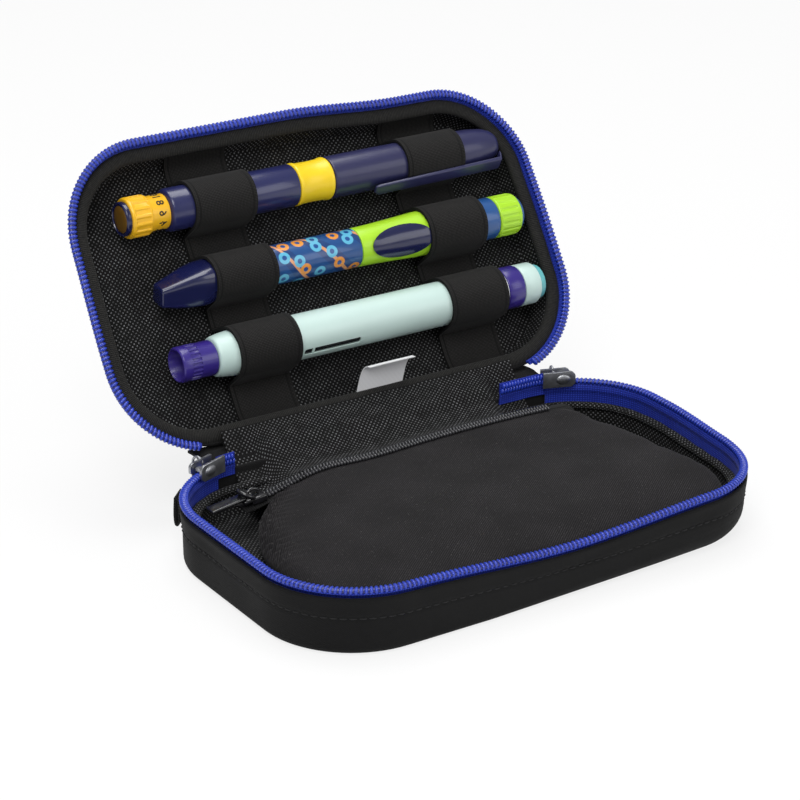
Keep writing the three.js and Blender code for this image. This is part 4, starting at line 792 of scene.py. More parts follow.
# ---- Cloth hinge ----
# The lid hangs on cloth. Inside, the dotted lining runs on from the pocket's zip over the fold and
# up to the lid's edge; outside, a band of the shell twill is sewn from wall to wall.
HINGE_LINING_HALF = 63
HINGE_SPINE_HALF = 74


def bent_strip(name, line, half, crease, follow):
    """A strip of cloth along the case, through (y, z) points that may follow the pocket zip."""
    rows = []
    for step in range(65):
        x = -half + 2 * half * step / 64
        back = CASE_CORNER - math.sqrt(CASE_CORNER ** 2 - max(abs(x) - CORNER_X, 0) ** 2)
        low = clamp((abs(x) - 46) / 7)
        row = []
        for y, z in line:
            front = clamp((57 - y) / 13)
            drop = front * (POCKET_COIL_HEIGHT - 2.4 - zip_height(x) + 1.6) if follow else 0
            drop += 3.2 * low * low * (3 - 2 * low) * clamp((66 - y) / 5) if follow else 0
            shift = -back if z < 24 else back * 0.4
            ripple = crease * noise.noise(Vector((x / 11, y / 6, 2.2)))
            row.append((x, y + shift, z + ripple - drop))
        rows.append(row)
    return weave_grid(name, rows)


inside = curve_through([(43.4, 20.2), (47.0, 18.9), (51.5, 18.3), (55.8, 20.8), (59.6, 24.1),
                        (63.0, 26.9), (67.3, 31.0)], 5)
hinge_lining = bent_strip("hinge_lining_tricot", inside, HINGE_LINING_HALF, 0.5, True)
thicken(hinge_lining, 0.8)
smooth(hinge_lining, 70)
hinge_lining.data.materials.append(dotted_tricot)
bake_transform(hinge_lining)
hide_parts("hinge_lining_lower", "hinge_lining_upper")

outside = curve_through([(59.1, 9.2), (59.5, 14.5), (60.2, 19.2), (61.4, 22.6), (64.6, 24.3),
                         (68.0, 24.4), (71.6, 24.0)], 5)
hinge_spine = bent_strip("hinge_spine_twill", outside, HINGE_SPINE_HALF, 0.25, False)
thicken(hinge_spine, 1.0)
smooth(hinge_spine, 70)
hinge_spine.data.materials.append(shell_twill)
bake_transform(hinge_spine)
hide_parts("hinge_spine_lower", "hinge_spine_upper")

# ---- Zip ends ----
# Between each slider and the hinge the zip stays shut: an upright end of blue tape that is cut square
# and sewn into the hinge, with the closed coil as two rows of turns along its top.
ZIP_END_TO = 72
ZIP_END_CORNER = 33.6
ZIP_END_FOOT = 19.1
ZIP_END_RISE = 8.6
ZIP_END_PITCH = 1.3


def zip_end_back(along):
    """How far the zip's end has come forward round the corner at a distance along the case."""
    return ZIP_END_CORNER - math.sqrt(ZIP_END_CORNER ** 2 - max(along - CORNER_X, 0) ** 2)


for name, node, side, start in (("zip_end_left_tape", "zip_end_left", -1, 64),
                                ("zip_end_right_tape", "zip_end_right", 1, 51)):
    rows = []
    for step in range(17):
        along = start + (ZIP_END_TO - start) * step / 16
        row = []
        for part in range(12):
            z = ZIP_END_FOOT + ZIP_END_RISE * part / 11
            ripple = 0.15 * noise.noise(Vector((along / 4, z / 3, 9 * side)))
            ridge = 0.45 * math.exp(-((z - 22.7) / 0.6) ** 2)
            row.append((side * along, 56.1 - zip_end_back(along) + ripple - ridge, z))
        rows.append(row)
    tape = weave_grid(name, rows)
    thicken(tape, 0.5)
    places = []
    for step in range(int((ZIP_END_TO - start - 0.6) / ZIP_END_PITCH)):
        for row, z in ((0, 24.6), (0.5, 26.4)):
            along = start + 0.8 + ZIP_END_PITCH * (step + row)
            middle = Vector((side * along, 55.4 - zip_end_back(along), z))
            places.append(Matrix.Translation(middle * MM) @ Matrix.Rotation(math.pi / 2, 4, "X"))
    closed_coil = lay_along(name + "_coil", turn, places)
    smooth(closed_coil, 80)
    smooth(tape, 60)
    dress(closed_coil, blue_nylon, "blue_coil", "base")
    dress(tape, blue_tape, "blue_tape", "base", node)

bpy.data.objects.remove(turn)

# ---- Hang loop ----
# A short loop of black webbing sewn into the left rear seam, folded flat on itself so that only its
# doubled end stands out by the zip pull.
LOOP_ANGLE = math.radians(135)
black_webbing = softshell_twill("black woven webbing", "#131313", "#2c2c2c", 0.8)
leaf = [(37.9, 20.8), (38.1, 17.5), (38.2, 14.0), (38.0, 11.2), (37.5, 10.3), (36.9, 10.5),
        (36.6, 11.5), (36.6, 14.0), (36.6, 17.5), (36.7, 20.8)]
leaf = curve_through(leaf, 3)
rows = []
for step in range(9):
    wide = -4 + step
    row = []
    for radius, z in leaf:
        away = Vector((math.cos(LOOP_ANGLE), math.sin(LOOP_ANGLE)))
        side = Vector((-away.y, away.x))
        x, y = Vector((-CORNER_X, CORNER_Y)) + radius * away + wide * side
        row.append((x, y, z))
    rows.append(row)
hang_loop = weave_grid("hang_loop_webbing", rows)
thicken(hang_loop, 0.6)
smooth(hang_loop, 60)
dress(hang_loop, black_webbing, "binding_fabric", "base", "hang_loop")

# ---- Lid shell ----
# The upper half's outside: the same twill pressed over foam, its walls leaning in to a flat back.
# It is made lying shut over the base and then swung open on the cloth hinge.
LID_HINGE = Vector((0, 60.7, 25.5))
LID_OPEN = math.radians(-122.5)
LID_LIP = 4.4
LID_BACK = 20.1
LID_FILLET = 12
LID_WALL = 1.2
LID_LEAN = math.radians(24)
LID_TUCK = 1.5
LID_STITCH_DEPTH = 11

lid_place = (Matrix.Translation(LID_HINGE * MM) @ Matrix.Rotation(LID_OPEN, 4, "X")
             @ Matrix.Translation((0, -LID_HINGE.y * MM, 0)))


def leaning(depth, inside=0.0):
    """How far the lid's wall has come in from the zip at a depth, under its outer face."""
    return LID_TUCK + 0.5 + math.tan(LID_LEAN) * (depth - LID_LIP) + inside / math.cos(LID_LEAN)


def settle_lid(piece):
    """Let the soft lid settle: its top edge sinks a little at the right and its corners draw in."""
    for vertex in piece.data.vertices:
        x, y, z = vertex.co / MM
        vertex.co.y += MM * 2.8 * ease(x, 0, 50) * ease(y, -5, -45)
        vertex.co.x -= MM * 1.2 * ease(x, 40, 95) * ease(y, 10, -40)
        vertex.co.x += MM * 1.2 * ease(x, -50, -95) * ease(y, 20, -35)


def swing_open(piece):
    """Let a lid piece settle, then swing it open with the lid."""
    settle_lid(piece)
    piece.data.transform(lid_place)


def finish_lid(piece, degrees, material, slot, *nodes):
    """Close a lid piece, swing it open and dress it."""
    close_up(piece)
    swing_open(piece)
    smooth(piece, degrees)
    dress(piece, material, slot, "lid", *nodes)


fillet_depth = LID_BACK - LID_FILLET
fillet_inset = leaning(fillet_depth + LID_FILLET * math.sin(LID_LEAN),
                       LID_FILLET * math.cos(LID_LEAN) ** 2)
bow = [LID_LEAN + (math.pi / 2 - LID_LEAN) * step / 9 for step in range(10)]
section = [(FLOOR_INSET, LID_BACK)]
section += [
    (fillet_inset - LID_FILLET * math.cos(a), fillet_depth + LID_FILLET * math.sin(a))
    for a in reversed(bow)
]
section += [(leaning(d), d) for d in (11, 9, 7, 5.4)]
section += [(LID_TUCK + side, d)
            for side, d in ((0.55, 4.8), (0.9, LID_LIP), (1.4, LID_LIP), (1.8, 4.9))]
section += [(leaning(d, LID_WALL), d) for d in (6, 8, 10, 12)]
inner = LID_FILLET - LID_WALL
section += [(fillet_inset - inner * math.cos(a), fillet_depth + inner * math.sin(a)) for a in bow]
section += [(FLOOR_INSET, LID_BACK - LID_WALL)]
lid_shell = sew_round("lid_shell_cover", rim, section)
for vertex in lid_shell.data.vertices:
    x, y, z = vertex.co / MM
    fold = noise.noise(Vector((x / 30, y / 30, z / 10 + 5)))
    vertex.co -= outwards(x, y) * MM * 0.7 * max(fold, 0) * clamp((z - 6) / 6)
finish_lid(lid_shell, 60, shell_twill, "shell_fabric", "lid_shell", "lid_foam")

lid_stitching = lay_along(
    "lid_stitching", stitch,
    rim_frames(outline_stations(spacing=STITCH_PITCH), leaning(LID_STITCH_DEPTH) - 0.02,
               LID_STITCH_DEPTH))
swing_open(lid_stitching)
smooth(lid_stitching, 80)
dress(lid_stitching, thread, "binding_fabric", "lid")
bpy.data.objects.remove(stitch)

# ---- Lid lining ----
# The inside of the lid: the same dotted tricot laid over foam, a flat floor with rounded walls that
# go up under the ribbed binding.
outer = curve_through(
    [(5.0, 7.2), (6.1, 9.9), (7.3, 12.4), (8.7, 14.8), (11.2, 15.8), (14, 15.8)], 3)
inner = curve_through(
    [(5.9, 7.2), (6.9, 9.6), (8.1, 12.0), (9.4, 14.1), (11.6, 15.0), (14, 15.0)], 3)
section = [(FLOOR_INSET, 15.8)] + outer[::-1] + inner + [(FLOOR_INSET, 15.0)]
lid_lining = sew_round("lid_lining_tricot", rim, section)
map_flat(lid_lining, 0.8)
ripple_up(lid_lining, 0.7, 16, 8.8)
finish_lid(lid_lining, 60, dotted_tricot, "lining_fabric", "lid_lining")

# ---- Lid binding ----
# A band of ribbed grosgrain folded over the edge where lining, foam and zip meet, sewn round the
# inside of the rim: fine cross ribs that catch the light.
BINDING_RIB = 0.7

grosgrain, shader, place = new_material("black ribbed grosgrain binding", "UV")
ribs = ribs_in(grosgrain, place, BINDING_RIB, 0.5, 1.0)
fuzz = clouds(grosgrain, place, 1 / (1.2 * MM), 3.0)
lit = maths(grosgrain, "MULTIPLY", ribs, fuzz)
lit = ranged(grosgrain, lit, (0.1, 0.6))
tone = tones(grosgrain, lit, "#0b0b0a", "#2b2a28")
finish(grosgrain, shader, tone, ribs, 0.4, 0.2,
       Roughness=0.8, Sheen_Weight=0.05, Specular_IOR_Level=0.25)
section = [
    (5.5 + 2.9 * math.cos(math.radians(a)), 5.3 + 1.6 * math.sin(math.radians(a)))
    for a in range(0, 360, 24)
]
lid_binding = sew_round("lid_grosgrain_binding", rim, section, tube=True)
ripple_up(lid_binding, 0.25, 9, 6.1)
finish_lid(lid_binding, 80, grosgrain, "binding_fabric", "lid_binding")

# ---- Lid zip ----
# The upper half of the zip: the same blue tape and coil round the lid's rim, from one end of the
# hinge to the other.
section = [(2.4, 7.4), (2.9, 7.4), (2.95, 5.6), (3.3, 4.4), (3.2, 3.5), (2.83, 2.7), (1.2, 2.6),
           (1.2, 3.2), (2.4, 4.2)]
lid_tape = sew_round("lid_tape", tape_rim, section, loop=False, tube=True)
finish_lid(lid_tape, 50, blue_tape, "blue_tape", "lid_zip_tape")

lid_coil = zip_coil("lid_coil", 2.0, 1.5)
swing_open(lid_coil)
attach(lid_coil, "lid")
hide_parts("lid_zip_coil")
bpy.data.objects.remove(tooth)

# ---- Elastic straps ----
# Two bands of black braided elastic sewn to the lid's floor between the pens, so that each stands up
# in a loop round every pen; their ends go under the binding.
STRAP_WIDTH = 25.5
STRAP_LEVEL = 14.1
PEN_DEPTH = 6.0
PEN_PLACES = {"lower": 35.6, "middle": 63.65, "upper": 91.7}

elastic, shader, place = new_material("black braided elastic", "UV")
courses = ribs_in(elastic, place, 0.55, 0.8)
wales = ribs_in(elastic, place, 0.6, 0.8, bands_direction="Y")
braid = maths(elastic, "MULTIPLY", courses, wales)
dust = clouds(elastic, place, 1 / (0.9 * MM), 3.0)
lit = maths(elastic, "MULTIPLY", braid, dust)
lit = ranged(elastic, lit, (0, 0.32))
# Painted shade: a dark line about 1.55 mm in from each edge takes the lit ribs away, as if the
# selvedge furrow were in shade.
across = add_node(elastic, "SeparateXYZ", {"Vector": place})
off_middle = maths(elastic, "SUBTRACT", across.outputs["Y"], 12.75 * MM)
off_middle = maths(elastic, "ABSOLUTE", off_middle)
to_selvedge = maths(elastic, "SUBTRACT", off_middle, 11.2 * MM)
to_selvedge = maths(elastic, "ABSOLUTE", to_selvedge)
furrow_shade = ranged(elastic, to_selvedge, (0, 0.55 * MM))
lit = maths(elastic, "MULTIPLY", lit, furrow_shade)
tone = tones(elastic, lit, "#090909", "#302f2e")
finish(elastic, shader, tone, braid, 0.15, 0.12,
       Roughness=0.85, Sheen_Weight=0.04, Specular_IOR_Level=0.2)


def strap_line(radii, top):
    """A strap's run in the lid, as (up the lid, depth) points: floor, loop, floor, to both edges."""
    line = [(6.4, 6.6), (10.0, 11.8), (12.5, STRAP_LEVEL)]
    for pen in ("lower", "middle", "upper"):
        up = PEN_PLACES[pen]
        round_pen = radii[pen] + 0.9
        foot = radii[pen] + 1.7
        drop = STRAP_LEVEL - PEN_DEPTH
        lean = math.atan2(drop, foot) - math.acos(round_pen / math.hypot(foot, drop))
        line.append((up - foot - 1.2, STRAP_LEVEL))
        line.append((up - foot, STRAP_LEVEL - 0.3))
        for step in range(25):
            angle = math.pi - lean + (math.pi + 2 * lean) * step / 24
            line.append((up + round_pen * math.cos(angle), PEN_DEPTH + round_pen * math.sin(angle)))
        line.append((up + foot, STRAP_LEVEL - 0.3))
        line.append((up + foot + 1.2, STRAP_LEVEL))
    line += [(top - 7.0, STRAP_LEVEL), (top - 3.6, 11.8), (top, 6.6)]
    for _ in range(2):
        cut = [line[0]]
        for near, far in zip(line, line[1:]):
            near, far = Vector(near), Vector(far)
            cut += [tuple(near.lerp(far, 0.25)), tuple(near.lerp(far, 0.75))]
        line = cut + [line[-1]]
    return line


for name, node, middle, top, radii in (
        ("left_elastic", "left_strap", -36.2, 115.0, {"lower": 8.5, "middle": 7.4, "upper": 8.0}),
        ("right_elastic", "right_strap", 55.8, 112.0, {"lower": 8.5, "middle": 8.7, "upper": 8.0})):
    rows = []
    for up, depth in strap_line(radii, top):
        row = []
        for part in range(9):
            x = middle + STRAP_WIDTH * (part / 8 - 0.5)
            wave = 0.3 * noise.noise(Vector((x / 9, up / 9, middle)))
            row.append((x, LID_HINGE.y - up, depth + wave * (abs(part - 4) / 4) ** 2))
        rows.append(row)
    strap = weave_grid(name, rows)
    thicken(strap, 1.1)
    strap.data.transform(lid_place)
    smooth(strap, 60)
    dress(strap, elastic, "elastic", "lid", node)
    runs(strap_line(radii, top))[-1] * MM

# ---- Care label ----
# A blank tab of white satin ribbon caught in the seam under the lowest pen; it stands off the lid and
# its free end curls over towards the viewer.
LABEL_LEFT = -4
LABEL_RIGHT = 16

satin, shader, place = new_material("white satin ribbon", "UV")
sheen = ribs_in(satin, place, 0.5, 0.4, bands_direction="Y")
tone = tones(satin, sheen, "#c9cacc", "#e6e6e8")
finish(satin, shader, tone, sheen, 0.15, 0.05,
       Roughness=0.5, Sheen_Weight=0.1)
rise = curve_through([(8.4, 6.6), (10.4, 5.4), (13, 3.8), (15.6, 2.0), (17.4, 0.2), (18.0, -1.4),
                      (17.2, -2.6)], 5)
rows = []
for step in range(13):
    x = LABEL_LEFT + (LABEL_RIGHT - LABEL_LEFT) * step / 12
    bow = 0.5 * math.sin(math.pi * step / 12)
    rows.append([
        (x + 0.16 * place, LID_HINGE.y - up, depth - bow * place / len(rise))
        for place, (up, depth) in enumerate(rise)
    ])
label = weave_grid("care_label_ribbon", rows)
thicken(label, 0.3)
label.data.transform(lid_place)
smooth(label, 70)
dress(label, satin, "label", "lid", "care_label")

# ---- Upper pen ----
# A reusable injection pen in glossy navy: moulded barrel and cap with a waisted yellow band between
# them, a fluted yellow dose knob on a narrow numbered sleeve, and a navy button with a bronze face.


def moulded_plastic(name, code, roughness=0.28, coat=0.25, mottle=0.12):
    """Injection-moulded plastic: one colour all through, faintly cloudy, with a soft mould gloss."""
    material, shader, place = new_material(name, "Object")
    cloud = clouds(material, place, 70.0, 3.0)
    grain = clouds(material, place, 1 / (0.7 * MM))
    base = linear(code)
    deep = [value * (1 - mottle) for value in base[:3]] + [1]
    pale = [min(value * (1 + mottle) + 0.002, 1) for value in base[:3]] + [1]
    tone = tones(material, cloud, deep, pale)
    gloss = ranged(material, grain, to=(roughness - 0.06, roughness + 0.06))
    return finish(material, shader, tone, grain, 0.06, 0.05,
                  Roughness=gloss, IOR=1.5, Coat_Weight=coat, Coat_Roughness=0.1)


def edit_faces(piece, wanted):
    """Enter edit mode with only the faces selected that pass a test of their middle and normal."""
    select_only(piece)
    bpy.ops.object.mode_set(mode="EDIT")
    bpy.ops.mesh.select_mode(type="FACE")
    bpy.ops.mesh.select_all(action="DESELECT")
    bpy.ops.object.mode_set(mode="OBJECT")
    for face in piece.data.polygons:
        face.select = wanted(face.center / MM, face.normal)
    bpy.ops.object.mode_set(mode="EDIT")


def faces_left(middle, normal):
    """Whether a face looks left, to the dial end of the two upper pens."""
    return normal.x < -0.9


def draw_out(*step):
    """Draw the selected faces out by a step in millimetres."""
    bpy.ops.mesh.extrude_region_move(
        TRANSFORM_OT_translate={"value": [value * MM for value in step]})


def inset_faces(piece, wanted, thickness, depth, **settings):
    """Set in, or sink, the faces that pass a test."""
    edit_faces(piece, wanted)
    bpy.ops.mesh.inset(thickness=thickness * MM, depth=depth * MM, **settings)
    bpy.ops.object.mode_set(mode="OBJECT")


def turned(name, profile, sides=56):
    """A round piece drawn out along the pen from a disc, through (along, radius) steps."""
    along, radius = profile[0]
    piece = new_primitive("circle", name, vertices=sides, radius=radius * MM, fill_type="NGON",
                          location=(along * MM, 0, 0), rotation=(0, math.pi / 2, 0))
    bpy.ops.object.mode_set(mode="EDIT")
    bpy.ops.mesh.select_all(action="SELECT")
    for next_along, next_radius in profile[1:]:
        draw_out(next_along - along, 0, 0)
        bpy.ops.transform.resize(value=(1, next_radius / radius, next_radius / radius),
                                 center_override=(next_along * MM, 0, 0))
        along, radius = next_along, next_radius
    bpy.ops.mesh.select_all(action="SELECT")
    bpy.ops.mesh.normals_make_consistent(inside=False)
    bpy.ops.object.mode_set(mode="OBJECT")
    return piece


def round_edges(piece, width, segments=2, degrees=35):
    """Soften the sharp edges of a moulded piece and shade it smooth."""
    add_modifier(piece, "BEVEL", width=width * MM, segments=segments, limit_method="ANGLE",
                 angle_limit=math.radians(degrees), harden_normals=False)
    smooth(piece, 40)


def fit_pen_piece(piece, pen, material, body, slot, *nodes):
    """Move a piece from its pen's own axis to the pen's place in the open lid, and dress it."""
    piece.data.transform(
        lid_place @ Matrix.Translation(Vector((0, LID_HINGE.y - PEN_PLACES[pen], PEN_DEPTH)) * MM))
    dress(piece, material, slot, body, *nodes)


def span(node):
    """A node's two ends along the pens, in millimetres."""
    low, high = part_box(node)
    return low[0] / MM, high[0] / MM


def drawn(name, node, near, middle=(), far=(), edge=0.0, sides=56):
    """A turned piece between its node's ends, with softened edges.

    Near steps count from the left end, middle ones from the case's middle, far ones from the right.
    """
    left, right = span(node)
    profile = [(left + along, radius) for along, radius in near] + list(middle)
    piece = turned(name, profile + [(right - along, radius) for along, radius in far], sides)
    if edge:
        round_edges(piece, edge)
    return piece


def around(middle):
    """The angle of a point round the pen's axis, in degrees from the side next to the hinge."""
    return math.degrees(math.atan2(middle.z, middle.y)) % 360


navy = moulded_plastic("navy pen plastic", "#1f2352", 0.3, 0.35)
cap_navy = moulded_plastic("greyed navy cap plastic", "#27284f", 0.38, 0.15)
deep_navy = moulded_plastic("deep navy pen plastic", "#121743", 0.22, 0.45)
yellow = moulded_plastic("lemon yellow pen plastic", "#f6d21c", 0.4, 0.15, 0.06)
amber = moulded_plastic("warm yellow knob plastic", "#f0b81a", 0.36, 0.2)
bronze = moulded_plastic("bronze pen plastic", "#6b4c16", 0.4, 0.3)

barrel = drawn("upper_barrel", "upper_pen_barrel", [(0, 6.9), (0.5, 7.7), (1.4, 8.0)],
               [(-20, 8.0)], [(0, 8.0)], 0.25)
fit_pen_piece(barrel, "upper", navy, "upper_pen", "navy", "upper_pen_barrel")

left, right = span("upper_pen_band")
band_side = [(0, 7.6), (0.4, 8.1), (1.6, 8.1), (2.3, 7.75)]
band = drawn("upper_band", "upper_pen_band", band_side, [(0.5 * (left + right), 7.6)],
             band_side[::-1], 0.2)
fit_pen_piece(band, "upper", yellow, "upper_pen", "yellow", "upper_pen_band")

cap = drawn("upper_cap", "upper_pen_cap", [(0, 7.7), (0.4, 8.0)], (), [
    (20, 8.0), (12, 7.75), (6, 7.0), (2.6, 5.9), (0.8, 4.6), (0, 3.0)], 0.3)
clip = block("upper_clip", (57.9, 10.6, 0), (57, 1.6, 6.0))
edit_faces(clip, faces_left)
bpy.ops.transform.resize(value=(1, 0.8, 0.8), center_override=(29.4 * MM, 10.4 * MM, 0))
draw_out(-1.6, -0.5, 0)
bpy.ops.transform.resize(value=(1, 0.7, 0.6), center_override=(27.8 * MM, 9.8 * MM, 0))
bpy.ops.object.mode_set(mode="OBJECT")
edit_faces(clip, lambda middle, normal: normal.x > 0.9)
bpy.ops.transform.resize(value=(1, 1.0, 0.9), center_override=(86.4 * MM, 10.4 * MM, 0))
bpy.ops.transform.translate(value=(-1.2 * MM, -1.2 * MM, 0))
draw_out(1.4, -3.2, 0)
bpy.ops.object.mode_set(mode="OBJECT")
round_edges(clip, 0.55, 3)
clip.data.transform(Matrix.Rotation(math.radians(-28), 4, "X"))
fit_pen_piece(cap, "upper", cap_navy, "upper_pen", "navy", "upper_pen_cap")
fit_pen_piece(clip, "upper", cap_navy, "upper_pen", "navy")

left, right = span("upper_pen_dial")
knob_end = -65.2
knob = turned("upper_knob", [
    (left, 7.2), (left + 0.7, 7.6), (left + 1.3, 7.6), (knob_end - 0.9, 7.6), (knob_end - 0.3, 7.3),
    (knob_end, 6.5), (right, 6.5)], sides=60)
inset_faces(knob, lambda middle, normal: left + 1.3 < middle.x < knob_end - 0.9
            and around(middle) % 24 < 17, 0.45, -0.55, use_boundary=True)
round_edges(knob, 0.16)
fit_pen_piece(knob, "upper", amber, "upper_dial", "yellow", "upper_pen_dial")

button = drawn("upper_button_ring", "upper_pen_button", [(0, 5.2), (0.1, 5.9), (0.7, 6.35)], (),
               [(0.2, 6.35), (0, 6.2)])
inset_faces(button, faces_left, 0.1, -0.55)
round_edges(button, 0.12)
fit_pen_piece(button, "upper", deep_navy, "upper_button", "deep_navy", "upper_pen_button")
inlay = drawn("upper_button_face", "upper_pen_button", [
    (0.25, 2.0), (0.3, 4.6), (0.5, 5.05), (0.9, 5.05)], edge=0.1)
fit_pen_piece(inlay, "upper", bronze, "upper_button", "bronze", "upper_pen_button_inlay")

# Plain dose numbers printed round the sleeve under the knob, which turn with it.
ink = moulded_plastic("dark printing ink", "#2a2417", 0.6, 0.0)
figures = []
for place, figure in enumerate((2, 4, 6, 8, 10, 12, 14, 16, 18, 20)):
    bpy.ops.object.select_all(action="DESELECT")
    bpy.ops.object.text_add()
    words = bpy.context.object
    words.data.body = str(figure)
    words.data.size = 4.2 * MM
    words.data.offset = 0.08 * MM
    words.data.align_x = "CENTER"
    words.data.align_y = "CENTER"
    words.data.resolution_u = 2
    bpy.ops.object.convert(target="MESH")
    for vertex in words.data.vertices:
        angle = math.radians(36 * place) + vertex.co.x / (6.5 * MM)
        along = -61.4 * MM + vertex.co.y
        vertex.co = Vector((along, 6.53 * MM * math.cos(angle), -6.53 * MM * math.sin(angle)))
    figures.append(words)
numbers = join("upper_sleeve_numbers", *figures)
thicken(numbers, 0.06)
fit_pen_piece(numbers, "upper", ink, "upper_dial", "deep_navy")

# ---- Middle pen ----
# A prefilled pen with a dark wedge-nosed cap, a blue body under a printed sleeve of plain dots and
# slanting bands, a lime grip that swells round a bare navy panel, and a lime dose knob.
lime = moulded_plastic("lime pen plastic", "#ace02a", 0.4, 0.15, 0.05)
collar_blue = moulded_plastic("steel blue pen plastic", "#24538f", 0.3, 0.3)

_, right = span("middle_pen_nose_cap")
nose = drawn("middle_nose", "middle_pen_nose_cap", [
    (0, 3.1), (0.4, 3.7), (6, 5.0), (12, 6.2), (17, 7.0)], (), [(2, 7.4), (0, 7.4)], sides=48)
for vertex in nose.data.vertices:
    x, y, z = vertex.co / MM
    square = clamp((right - x) / 14)
    angle = math.atan2(z, y)
    power = 2 + 5 * square
    swell = (abs(math.cos(angle)) ** power + abs(math.sin(angle)) ** power) ** (-1 / power)
    vertex.co.y *= swell
    vertex.co.z *= swell
round_edges(nose, 0.3, degrees=28)
nose.data.transform(Matrix.Rotation(math.radians(38), 4, "X"))
for vertex in nose.data.vertices:
    vertex.co.y += 2.0 * MM * clamp((right - vertex.co.x / MM) / 22)
fit_pen_piece(nose, "middle", deep_navy, "middle_nose", "deep_navy", "middle_pen_nose_cap")

printed, shader, place = new_material("printed blue pen sleeve", "UV")
slant = add_node(printed, "Mapping", {"Vector": place, "Rotation": (0, 0, math.radians(33))})
bands = ribs_in(printed, slant.outputs["Vector"], 13, 2.6, 0.0)
wide = ranged(printed, bands, (0.52, 0.56))
thin = ranged(printed, bands, (0.972, 0.982))
cells = add_node(printed, "TexVoronoi", {
    "Vector": place, "Scale": 1 / (7.4 * MM), "Randomness": 0.75}, voronoi_dimensions="2D")
dots = ranged(printed, cells.outputs["Distance"], (0.33, 0.3))
rings = ranged(printed, cells.outputs["Distance"], (0.14, 0.12))
pick = add_node(printed, "SeparateColor", {"Color": cells.outputs["Color"]})
warm = maths(printed, "GREATER_THAN", pick.outputs[0], 0.55)
ground = tones(printed, wide, "#1b4c88", "#193f78")
ground = tones(printed, thin, ground, "#dd9a6a")
spot = tones(printed, warm, "#5fb6d8", "#e8963c")
spot = tones(printed, rings, spot, "#1d4f92")
tone = tones(printed, dots, ground, spot)
finish(printed, shader, tone, None, Roughness=0.3, IOR=1.5, Coat_Weight=0.3)


def wrap_map(piece, radius):
    """Map a round piece as its label is printed: along the pen, and round it."""
    mesh = piece.data
    layer = mesh.uv_layers.new(name="UVMap") if not mesh.uv_layers else mesh.uv_layers[0]
    for face in mesh.polygons:
        first = None
        for loop in face.loop_indices:
            x, y, z = mesh.vertices[mesh.loops[loop].vertex_index].co
            angle = math.atan2(z, y)
            first = angle if first is None else first
            angle += 2 * math.pi * round((first - angle) / (2 * math.pi))
            layer.data[loop].uv = (x, angle * radius * MM)


body = drawn("middle_body", "middle_pen_body", [(0, 7.0), (0.4, 7.4)],
             [(-10, 7.4)], [(0, 7.4)], 0.2)
wrap_map(body, 7.4)
fit_pen_piece(body, "middle", printed, "middle_pen", "pattern_blue", "middle_pen_body")

grip = drawn("middle_grip", "middle_pen_sleeve", [(0, 7.2), (0.3, 7.42), (6, 7.5)],
             [(27.1, 7.8), (34, 8.15), (40.3, 8.5), (46, 8.65)], [(0.4, 8.7), (0, 8.4)], 0.2)
fit_pen_piece(grip, "middle", lime, "middle_pen", "lime", "middle_pen_sleeve")

panel = new_primitive("circle", "middle_panel", vertices=48, radius=1 * MM, fill_type="NGON")
bpy.ops.object.mode_set(mode="EDIT")
bpy.ops.mesh.select_all(action="SELECT")
for step in range(5):
    bpy.ops.mesh.inset(thickness=0.16 * MM)
bpy.ops.object.mode_set(mode="OBJECT")
for vertex in panel.data.vertices:
    x, w = vertex.co.x / MM * 13.0, vertex.co.y / MM * 6.2
    away = math.hypot(vertex.co.x, vertex.co.y) / MM
    out = 8.26 + 0.045 * x + 0.22 * (1 - away ** 6)
    angle = math.radians(-70) + w / 8.2
    vertex.co = Vector((31.0 + x, out * math.cos(angle), out * math.sin(angle))) * MM
thicken(panel, 0.5, -1)
smooth(panel, 50)
fit_pen_piece(panel, "middle", deep_navy, "middle_pen", "deep_navy", "middle_pen_badge")

collar = drawn("middle_collar", "middle_pen_collar", [(0, 7.8), (0.3, 8.1)], (),
               [(0.3, 8.1), (0, 7.8)], 0.2)
fit_pen_piece(collar, "middle", collar_blue, "middle_pen", "pattern_blue", "middle_pen_collar")

left, right = span("middle_pen_dial")
knob = drawn("middle_knob", "middle_pen_dial", [(0, 7.7), (0.5, 8.1), (1.0, 8.1)], (),
             [(1.6, 8.1), (0.5, 7.8), (0, 7.1)], sides=72)
inset_faces(knob, lambda middle, normal: left + 1.0 < middle.x < right - 1.6
            and around(middle) % 20 < 10, 0.3, -0.3, use_boundary=True)
round_edges(knob, 0.12)
fit_pen_piece(knob, "middle", lime, "middle_dial", "lime", "middle_pen_dial")

button = drawn("middle_button_face", "middle_pen_button", [(0, 6.4)], (),
               [(0.6, 6.5), (0.15, 6.2), (0, 5.6)], 0.15)
fit_pen_piece(button, "middle", collar_blue, "middle_button", "deep_navy", "middle_pen_button")

# ---- Lower pen ----
# A prefilled pen in pale mint: a purple ribbed cap with a hollow end over the needle, a smooth barrel
# with a long dark dose slot, a white ring, a purple dose ring and a teal button.
SLOT_TURN = math.radians(-35)

mint = moulded_plastic("pale mint pen plastic", "#c8e0da", 0.4, 0.15, 0.05)
purple = moulded_plastic("violet pen plastic", "#33247f", 0.32, 0.25)
teal = moulded_plastic("teal pen plastic", "#62b3b8", 0.35, 0.2)
ring_white = moulded_plastic("white pen plastic", "#eef1f2", 0.35, 0.2, 0.03)
smoke = moulded_plastic("smoked clear pen window", "#14181c", 0.12, 0.8)

